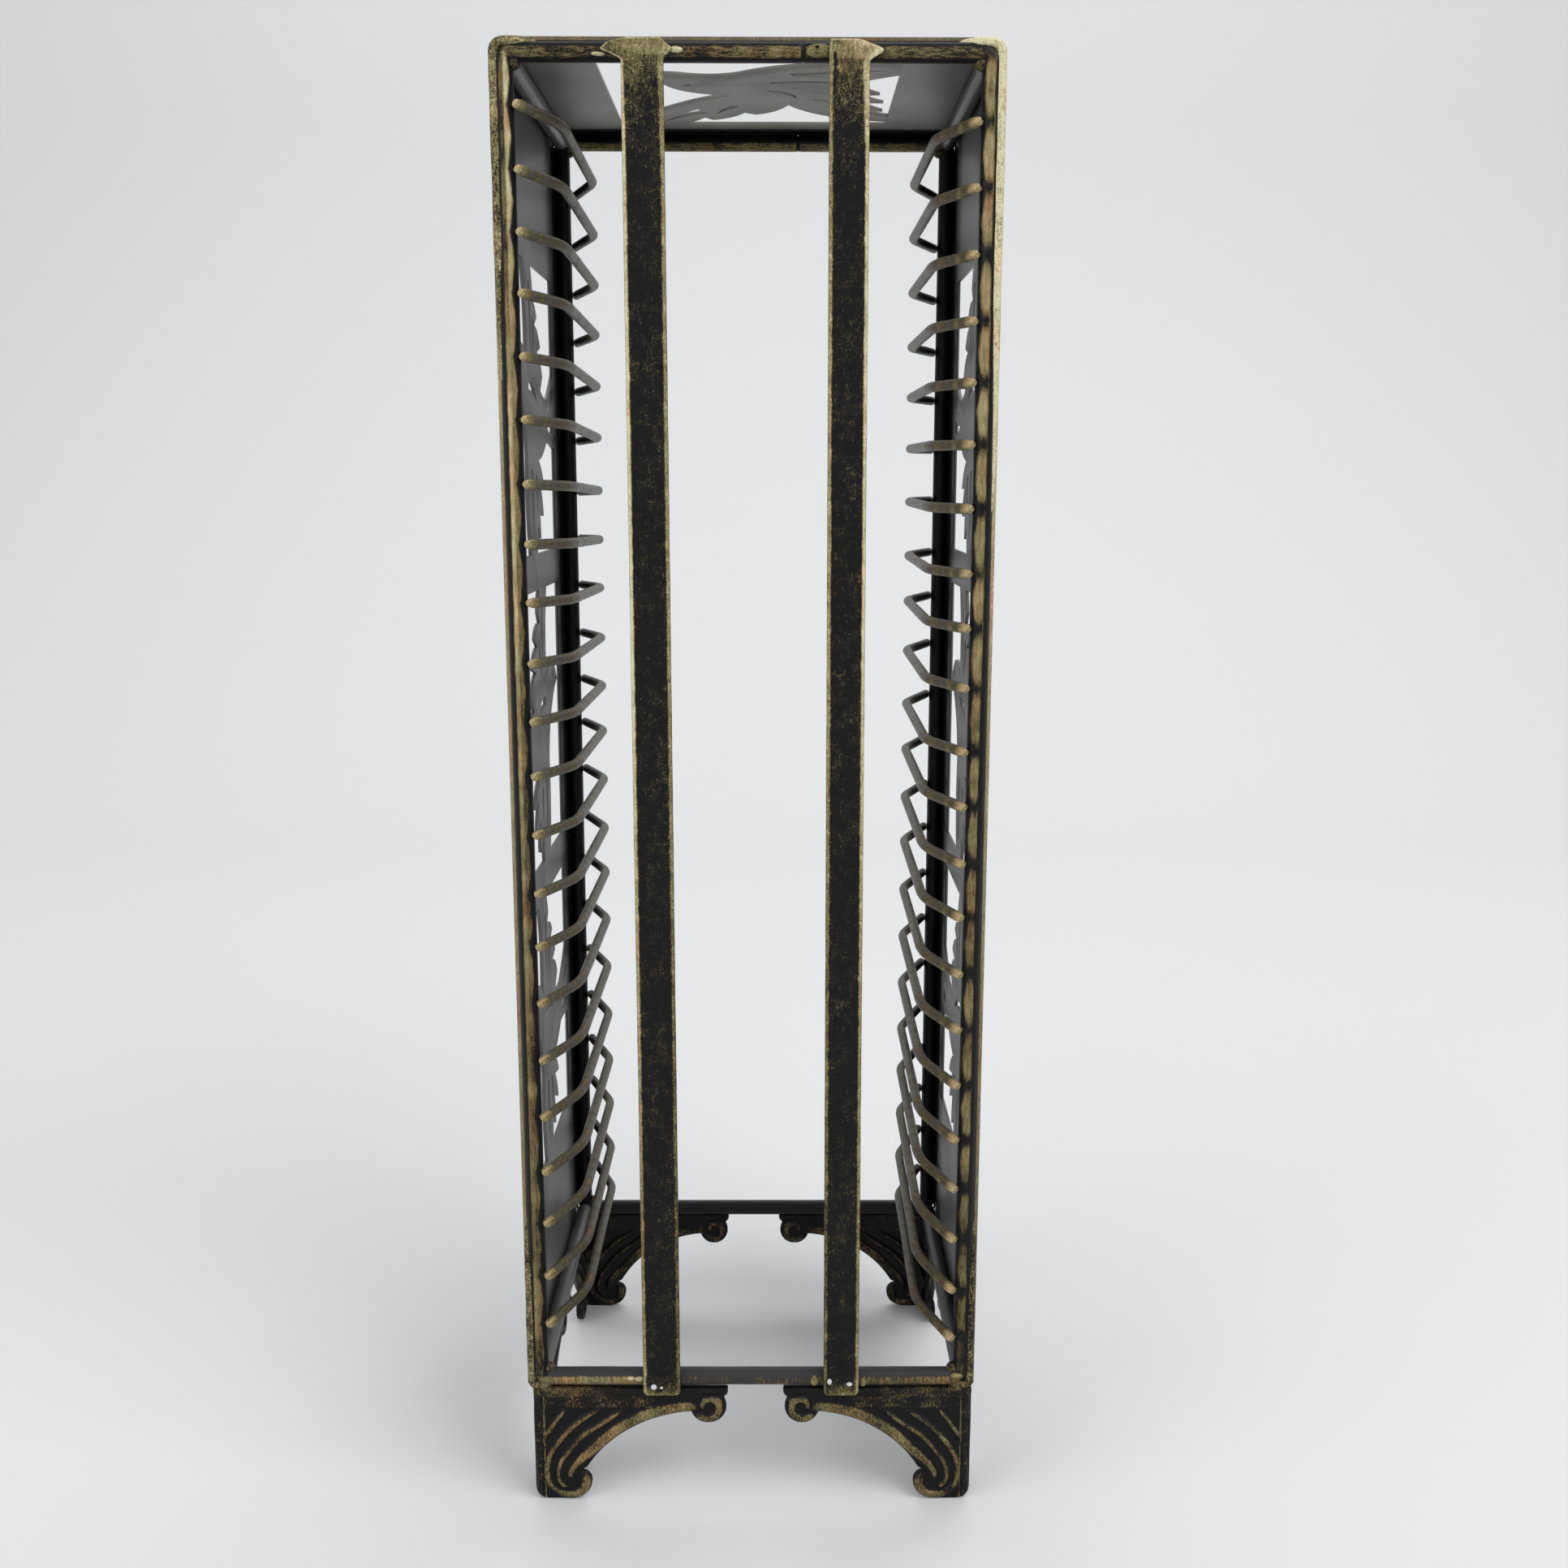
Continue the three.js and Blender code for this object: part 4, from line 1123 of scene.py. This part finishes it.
# %% [markdown]
# Every wire end is held by a small weld bead, and larger beads close the rings' corners and hold
# the strips. A bead is a lump of melted metal, so a Geometry Nodes tree sets small icospheres on
# points, stretches each by its own size, and pushes the surface about with a noise.

# %% Geometry Nodes: weld beads on points
BEAD_INPUTS = {"Geometry": "Geometry", "Roughness of bead": "Float", "Seed": "Int", "Paint": "Material"}
BEAD_SIZE = "bead_size"
BEAD_LUMPS = 420.0


def bead_tree():
    tree, given = new_tree("weld beads", "GeometryNodeTree", BEAD_INPUTS, GEOMETRY)
    ball = geo(tree, "MeshIcoSphere", {"Radius": 1.0, "Subdivisions": 4})
    sizes = named(tree, BEAD_SIZE, "FLOAT_VECTOR")
    beads = geo(tree, "InstanceOnPoints", {"Points": given["Geometry"], "Instance": ball, "Scale": sizes})
    real = geo(tree, "RealizeInstances", {"Geometry": beads})
    lumps = maths(tree, "ADD", noisy(tree, BEAD_LUMPS, 3.0, "4D", W=given["Seed"]), -0.5)
    push = maths(tree, "MULTIPLY", lumps, given["Roughness of bead"])
    pushed = {0: geo(tree, "InputNormal"), "Scale": push}
    offset = put(tree, "ShaderNodeVectorMath", pushed, operation="SCALE").outputs[0]
    lumpy = geo(tree, "SetPosition", {"Geometry": real, "Offset": offset})
    painted = geo(tree, "SetMaterial", {"Geometry": lumpy, "Material": given["Paint"]})
    put(tree, "NodeGroupOutput", {"Geometry": painted})
    return tree


BEAD_TREE = bead_tree()


def trim(piece, gold, slot):
    """Give a small piece one gold all over, and let it ride without standing for a node."""
    keep_worn(piece.data, [gold] * len(piece.data.vertices))
    hand_over(piece, slot)


def beads(name, spots, seed, lumpiness, slot, gold, paint=weld_paint):
    """Weld beads at spots, each a centre in metres and half sizes along x, y and z in millimetres."""
    sizes = [v * MM for centre, size in spots for v in size]
    values = {"Roughness of bead": lumpiness * MM, "Seed": seed, "Paint": paint}
    kept = [(BEAD_SIZE, "FLOAT_VECTOR", "vector", sizes)]
    centres = [centre for centre, size in spots]
    trim(grown(name, centres, BEAD_TREE, values, kept=kept, degrees=80), gold, slot)


print("bead tree has", len(BEAD_TREE.nodes), "nodes")

# %% The beads, and chips in the paint at the strips' feet
WIRE_BEAD = (1.35, 1.6, 1.3)
WIRE_BEAD_OUT = 2.1 * MM
BEAD_LIFT = 0.4 * MM
CORNER_BEAD = (2.6, 2.2, 2.6)
CORNER_IN = 3.0 * MM
STRIP_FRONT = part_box("rear_strip_left")[0].y + STRIP_SET_BACK
# Each bead's place across and up, and its half sizes along x, y and z, in millimetres
PALE_WELDS = [
    (-22.3, 501.8, 2.2, 1.2, 0.9), (-46.6, 500.6, 2.2, 0.7, 0.6), (-43.6, 49.0, 1.5, 0.9, 0.8),
    (-40.6, 48.8, 1.7, 1.0, 0.8),
]
GOLD_WELDS = [
    (22.4, 501.7, 4.2, 1.1, 2.1), (75.0, 49.8, 2.3, 1.1, 1.1), (23.2, 47.9, 1.5, 0.8, 2.0),
    (40.9, 47.3, 1.2, 0.7, 1.8),
]
WELD_PIT = [(21.7, 502.7, 0.6, 0.6, 0.5)]
CHIPS = [
    (-35.1, 46.8, 1.1, 0.12, 1.1), (-32.3, 46.5, 0.55, 0.12, 0.55), (28.6, 48.9, 0.85, 0.12, 1.2),
    (35.8, 47.9, 1.1, 0.12, 0.8),
]


def spots_at(table, y):
    return [((x * MM, y, z * MM), size) for x, z, *size in table]


wire_spots = []
for side, levels in WIRE_LEVELS.items():
    x = side * (WIRE_END_X + WIRE_BEAD_OUT)
    for rear, front in levels:
        for y, z in ((REAR_Y - BEAD_LIFT, rear), (FRONT_Y + BEAD_LIFT, front)):
            wire_spots.append(((x, y, z), WIRE_BEAD))
corner_spots = []
for y in (REAR_Y, FRONT_Y):
    for x in (CORNER_IN - POST_X, POST_X - CORNER_IN):
        corner_spots += [((x, y, z), CORNER_BEAD) for z in (TOP_Z - CORNER_IN, BOTTOM_Z + CORNER_IN)]
face = REAR_Y - ROD
beads("wire_welds", wire_spots, 4, 0.5, "wire", 0.5)
beads("corner_welds", corner_spots, 9, 0.8, "rear_frame", 0.36)
beads("pale_welds", spots_at(PALE_WELDS, face - 0.1 * MM), 12, 0.6, "rear_frame", 0.92)
beads("gold_welds", spots_at(GOLD_WELDS, face + 0.4 * MM), 15, 0.5, "rear_frame", 0.56)
beads("weld_pit", spots_at(WELD_PIT, face - 0.5 * MM), 3, 0.1, "rear_frame", -0.9)
beads("paint_chips", spots_at(CHIPS, STRIP_FRONT + 0.04 * MM), 7, 0.0, "strip", -0.1, steel_paint)

# %% [markdown]
# Paint and weld fill the groove between each rear post and its sheet, at the top and the foot. Along
# the front ring a fine seam closes the slit where the sheets meet it. Both are thin rods of the
# same tree; a fill's ends sink into the groove, so it seems to run out.

# %% Fills and seams between the rings and the sheets
FILL_RADIUS = 1.65 * MM
FILL_OUT = 2.85 * MM
FILL_FRONT = REAR_Y - 1.3 * MM
FILL_SUNK = REAR_Y + 1.6 * MM
# Per side: the gold of the upper and lower fill, and where the upper one turns in and ends
FILL_GOLD = {-1: (0.54, 0.46), 1: (0.98, 0.36)}
FILL_RUNS = {-1: (58, 100), 1: (76, 142)}
SEAM_RADIUS = 0.36 * MM
SEAM_Y = FRONT_Y - 0.7 * MM
SEAM_OUT = ROD + 0.12 * MM


def fill(name, side, level, turns, runs, bend, seed, gold):
    """A fill that starts in the rail's groove, goes round the corner and runs out along the post."""
    x = side * (POST_X + FILL_OUT)
    start, turn = (side * (POST_X - t * MM) for t in turns)
    path = [
        (start, FILL_SUNK, level), (turn, FILL_FRONT, level), (x, FILL_FRONT, level),
        (x, FILL_FRONT, runs[0]), (x, FILL_SUNK, runs[1]),
    ]
    trim(rod(name, path, seam_paint, seed, FILL_RADIUS, bend * MM, 0.8 * MM, 14, 0.5), gold, "rear_frame")


def seam(name, ends):
    trim(rod(name, ends, seam_paint, 2, SEAM_RADIUS, 0.0, 0.8 * MM, 14, 0.2), 0.05, "front_frame")


for side, word in WORDS.items():
    upper_gold, lower_gold = FILL_GOLD[side]
    down = [TOP_Z - run * MM for run in FILL_RUNS[side]]
    up = [BOTTOM_Z + 36 * MM, BOTTOM_Z + 62 * MM]
    fill("upper_fill_" + word, side, TOP_Z + FILL_OUT, (10, 4), down, 2.9, 4, upper_gold)
    fill("lower_fill_" + word, side, BOTTOM_Z - FILL_OUT, (4, 2), up, 2.0, 6, lower_gold)
    seam("front_seam_" + word, [(side * (POST_X + SEAM_OUT), SEAM_Y, z) for z in (TOP_Z, BOTTOM_Z)])
seam("front_seam_top", [(x, SEAM_Y, TOP_Z + SEAM_OUT) for x in (-POST_X, POST_X)])

# %% [markdown]
# The feet are sand castings with soft ridges. They are built like a pattern maker's model: a flat
# wing, half-round ribs laid on both faces, and a scroll. A voxel Remesh then melts the parts into
# one skin, and a light smoothing gives the blurred edges that castings have.

# %% Foot: outline
foot_low, foot_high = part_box("foot_rear_left")
FOOT_TOP = foot_high.z
FOOT_OUTER = -foot_low.x
WING = 70 * MM
FOOT_THICK = 3.6 * MM
RIB_RISE = 0.95 * MM
# The outline's three round parts, each a centre and a radius
TOE = (Vector((13.2, 6.2)) * MM, 6.2 * MM)
SCROLL = (Vector((62.9, 37.1)) * MM, 6.5 * MM)
ARCH = (Vector((59.5, -12.2)) * MM, 47.5 * MM)
ARCH_END = 57 * MM
NECK_LEVEL = 12.6 * MM
FOOT_ROUND = 4.8 * MM
FLANGE = 3.6 * MM
FLANGE_NOSE = [(68.6, 41.2), (69.6, 41.8), (70, 43)]


def wing_outline():
    centre, radius = ARCH
    drop = NECK_LEVEL - centre.y
    neck_angle = math.pi - math.asin(drop / radius)
    end_angle = math.acos((ARCH_END - centre.x) / radius)
    points = [Vector((0, FOOT_TOP))]
    points += arc(Vector((FOOT_ROUND, FOOT_ROUND)), FOOT_ROUND, math.pi, 1.5 * math.pi, 8)
    points += arc(*TOE, -math.pi / 2, math.pi / 3.2, 22)
    points += arc(*ARCH, neck_angle, end_angle, 40)
    points += arc(*SCROLL, 1.11 * math.pi, 2.16 * math.pi, 26)
    points += [Vector(p) * MM for p in FLANGE_NOSE]
    return points + [Vector((WING, FOOT_TOP))]


print("wing outline has", len(wing_outline()), "points")

# %% Foot: ribs
# A rib's table holds its middle line in shares of the wing's length and height, and its half width
ARCH_RIB = [
    (0.85, 0.79, 1.5), (0.813, 0.83, 1.9), (0.702, 0.813, 2.3), (0.583, 0.759, 2.4), (0.473, 0.67, 2.35),
    (0.383, 0.567, 2.25), (0.305, 0.45, 2.1), (0.245, 0.365, 1.7), (0.203, 0.29, 1.35), (0.184, 0.225, 1.15),
    (0.192, 0.17, 0.9),
]
MIDDLE_RIB = [
    (0.508, 0.845, 0.7), (0.431, 0.768, 1.0), (0.375, 0.703, 1.1), (0.32, 0.644, 1.15), (0.264, 0.586, 1.15),
    (0.22, 0.513, 1.15), (0.176, 0.425, 1.1), (0.141, 0.352, 1.1), (0.123, 0.263, 1.05), (0.122, 0.19, 1.0),
    (0.146, 0.123, 1.0), (0.18, 0.108, 0.8),
]
TOE_RIB = [
    (0.381, 0.845, 0.7), (0.326, 0.79, 1.0), (0.274, 0.739, 1.15), (0.223, 0.681, 1.25), (0.175, 0.608, 1.3),
    (0.136, 0.535, 1.3), (0.1, 0.454, 1.3), (0.074, 0.374, 1.3), (0.063, 0.278, 1.3), (0.066, 0.19, 1.25),
    (0.086, 0.116, 1.2), (0.137, 0.055, 1.25), (0.196, 0.042, 1.5), (0.246, 0.075, 1.9), (0.268, 0.145, 2.1),
    (0.26, 0.21, 2.0), (0.234, 0.25, 1.6),
]
SHORT_RIB = [
    (0.178, 0.83, 0.8), (0.121, 0.717, 1.1), (0.082, 0.63, 1.2), (0.051, 0.557, 1.2), (0.03, 0.484, 1.1),
]
EDGE_RIB = [(0.018, 0.93, 1.3), (0.018, 0.6, 1.35), (0.02, 0.42, 1.1), (0.02, 0.32, 0.9)]
SCROLL_LIP = [(0.86, 0.895, 0.8), (0.92, 0.905, 0.9), (0.975, 0.885, 0.8)]


def scroll_curl():
    """The scroll's rib runs once round its lobe and curls in to the middle."""
    table = []
    for k in range(15):
        angle = math.radians(-165 + 27 * k)
        share = (k / 14) ** 1.4
        spot = SCROLL[0] + Vector((math.cos(angle), math.sin(angle))) * (4.9 - 3.2 * share) * MM
        table.append((spot.x / WING, spot.y / FOOT_TOP, 1.5 - 0.5 * share))
    return table


RIBS = [ARCH_RIB, MIDDLE_RIB, TOE_RIB, SHORT_RIB, EDGE_RIB, scroll_curl(), SCROLL_LIP]
print("each face of a wing has", len(RIBS), "ribs")

# %% Foot: the pattern maker's model
RIB_SIDES = 12
RIB_STEPS = 8


def flowing(points, steps):
    """A smooth line through the points (Catmull-Rom)."""
    ends = [points[0] * 2 - points[1]] + points + [points[-1] * 2 - points[-2]]
    line = []
    for i in range(1, len(ends) - 2):
        a, b, c, d = ends[i - 1:i + 3]
        for k in range(steps):
            t = k / steps
            square, cube = a * 2 - b * 5 + c * 4 - d, b * 3 - a - c * 3 + d
            line.append((b * 2 + (c - a) * t + square * t * t + cube * t ** 3) / 2)
    return line + [ends[-2]]


def add_rib(model, line, level, place):
    """A half-round ridge along a line of points and half widths, lying half in the wing's face."""
    rings = []
    last = len(line) - 1
    for i, (point_u, point_w, half_width) in enumerate(line):
        tangent = (line[min(i + 1, last)].xy - line[max(i - 1, 0)].xy).normalized()
        normal = Vector((-tangent.y, tangent.x))
        share = min(i, last - i) / (len(line) * 0.12)
        taper = math.sin(min(share, 1) * math.pi / 2) * 0.88 + 0.12
        rings.append([])
        for k in range(RIB_SIDES):
            angle = 2 * math.pi * k / RIB_SIDES
            spot = Vector((point_u, point_w)) + normal * (half_width * taper * math.cos(angle))
            rings[-1].append(model.verts.new(place(spot, level + RIB_RISE * taper * math.sin(angle))))
    skin(model, rings)


def foot_model():
    """One foot with its outer corner at the origin, both wings, before the casting's remesh."""
    model = bmesh.new()
    low = FOOT_TOP - FLANGE * 0.62
    flange = [(0, low), (WING - 1 * MM, low), (WING, FOOT_TOP - 0.2 * MM), (0, FOOT_TOP)]
    plate, margin = RIB_RISE * 0.95, 0.15 * MM
    for place in (lambda p, d: Vector((p.x, d, p.y)), lambda p, d: Vector((d, p.x, p.y))):
        add_prism(model, wing_outline(), place, plate, FOOT_THICK - plate)
        add_prism(model, [Vector(p) for p in flange], place, margin, FOOT_THICK - margin)
        for level in (RIB_RISE, FOOT_THICK - RIB_RISE):
            for table in RIBS:
                line = [Vector((u * WING, w * FOOT_TOP, half * MM)) for u, w, half in table]
                add_rib(model, flowing(line, RIB_STEPS), level, place)
    return model


pattern = foot_model()
print("pattern has", len(pattern.verts), "vertices")

# %% Foot: cast it and read how proud each point stands
VOXEL = 0.36 * MM
casting = from_bmesh("foot_casting", pattern)
apply_modifier(casting, "REMESH", mode="VOXEL", voxel_size=VOXEL)
apply_modifier(casting, "SMOOTH", factor=0.5, iterations=4)


def proud(local):
    """How far a point stands up from the wing's plate: 0 in a groove, 1 on a ridge."""
    depths = [d for d in (local.x, local.y) if d <= FOOT_THICK + 0.3 * MM]
    return max([clamp(1 - min(d, FOOT_THICK - d) / RIB_RISE) for d in depths], default=0.0)


print("cast foot has", len(casting.data.vertices), "vertices")

# %% [markdown]
# Four castings came from one pattern, but they were filed and set by hand. Each foot has its own
# reach, so its scrolls end a little further in or out, and stands a little in or out of line.

# %% The four feet
GROOVE_GOLD = 0.03
RIDGE_GOLD = 0.5
UNDER_FLANGE_GOLD = 0.27
FLANGE_GOLD = 0.36
INNER_FACES = 0.72
EDGE_BAND = 3.4 * MM
ARCH_REACH = 5.2 * MM
STRETCH_FROM = 20 * MM


def foot_gold(local, strength):
    """Gold on ridges and lobes, flecks under the flange, black in the grooves."""
    lift = proud(local)
    along = max(local.x, local.y)
    if (Vector((along, local.z)) - ARCH[0]).length < ARCH[1] + ARCH_REACH:
        ridge = clamp((lift - 0.12) / 0.6) ** 1.1
    else:
        ridge = 0.95 * clamp((lift - 0.36) / 0.5)
    gold = GROOVE_GOLD + (RIDGE_GOLD - GROOVE_GOLD) * ridge
    if along < 0.62 * WING and local.z > 0.82 * FOOT_TOP:
        gold = max(gold, UNDER_FLANGE_GOLD)
    if along < EDGE_BAND:
        gold *= 0.5
    if local.z > FOOT_TOP - FLANGE:
        gold = FLANGE_GOLD * min(1, max(0.35, 1.6 - along / (0.5 * WING)))
    return gold * strength + 0.1 * noise.noise(local / MM * 0.16)


def foot(node, side, outer_y, inward, reach, set_in, brushing):
    data = casting.data.copy()
    data.name = "cast_" + node
    worn = []
    for v in data.vertices:
        inner = INNER_FACES if min(v.co.x, v.co.y) > FOOT_THICK / 2 else 1.0
        worn.append(foot_gold(v.co, brushing * inner))
        x, y = (c if c < STRETCH_FROM else STRETCH_FROM + (c - STRETCH_FROM) * reach for c in v.co.xy)
        v.co = Vector((side * (FOOT_OUTER - set_in * MM - x), outer_y + inward * y, v.co.z))
    keep_worn(data, worn)
    if -side * inward < 0:
        data.flip_normals()
    piece = new_piece(data.name, data)
    data.materials.clear()
    data.materials.append(foot_paint)
    round_shading(piece, 60)
    hand_over(piece, "foot", node)


REAR_FACE = foot_low.y
FRONT_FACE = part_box("foot_front_left")[1].y
foot("foot_rear_left", -1, REAR_FACE, 1, 1.02, 0.7, 1.0)
foot("foot_rear_right", 1, REAR_FACE, 1, 0.975, -0.5, 0.93)
foot("foot_front_left", -1, FRONT_FACE, -1, 0.955, 0.0, 0.86)
foot("foot_front_right", 1, FRONT_FACE, -1, 0.995, 0.0, 0.86)
bpy.data.objects.remove(casting)

# %% [markdown]
# The stage is one pale sweep: a floor that curves up behind the tower, so no horizon shows. A
# plane and a separate wall would need a soft edge between them; one bent sheet has none.

# %% Floor and backdrop
STAGE_TONE = (0.67, 0.675, 0.67, 1)


def stage_material():
    material, tree = new_material("pale stage")
    look = {"Base Color": STAGE_TONE, "Roughness": 0.9, "Specular IOR Level": 0.1}
    shader = put(tree, "ShaderNodeBsdfPrincipled", look)
    put(tree, "ShaderNodeOutputMaterial", {"Surface": shader.outputs[0]})
    return material


def sweep():
    floor_front, bend_start, bend_radius, wall_top, half_width = -2.4, 1.0, 0.9, 3.4, 3.2
    bend = arc(Vector((bend_start, bend_radius)), bend_radius, -math.pi / 2, 0, 24)
    line = [(floor_front, 0.0)] + [tuple(p) for p in bend] + [(bend_start + bend_radius, wall_top)]
    verts = [(x, y, z) for y, z in line for x in (-half_width, half_width)]
    faces = [(2 * k, 2 * k + 1, 2 * k + 3, 2 * k + 2) for k in range(len(line) - 1)]
    mesh = bpy.data.meshes.new("stage_sweep")
    mesh.from_pydata(verts, [], faces)
    stage = new_piece("stage_sweep", mesh)
    mesh.materials.append(stage_material())
    round_shading(stage, 60)
    return stage


stage = sweep()
print("stage has", len(stage.data.polygons), "faces")

# %% [markdown]
# The light is soft and even: one broad lamp above and to the right, a weaker one to the left, one
# above and behind for the open side and the rims, and a pale world for the rest.

# %% Lamps and world
def lamp(name, place, aim, size, watts):
    light = bpy.data.lights.new(name, "AREA")
    light.shape = "RECTANGLE"
    light.size, light.size_y = size
    light.energy = watts
    held = bpy.data.objects.new(name, light)
    held.visible_camera = False
    bpy.context.scene.collection.objects.link(held)
    turned = (Vector(aim) - Vector(place)).to_track_quat("-Z", "Y").to_matrix().to_4x4()
    held.matrix_world = Matrix.Translation(Vector(place)) @ turned


lamp("key", (1.3, -1.1, 1.9), (0, 0, 0.25), (1.6, 1.2), 26)
lamp("fill", (-1.6, -1.2, 1.0), (0, 0, 0.25), (1.4, 1.4), 12)
lamp("back", (0.2, 1.2, 2.0), (0, 0.1, 0.3), (2.0, 1.0), 14)

world = bpy.data.worlds.new("pale room")
world.use_nodes = True
world.node_tree.nodes.clear()
sky = put(world.node_tree, "ShaderNodeBackground", {"Color": (0.93, 0.95, 1.0, 1), "Strength": 0.75})
put(world.node_tree, "ShaderNodeOutputWorld", {"Surface": sky.outputs[0]})
bpy.context.scene.world = world
bpy.context.scene.view_settings.view_transform = "Standard"
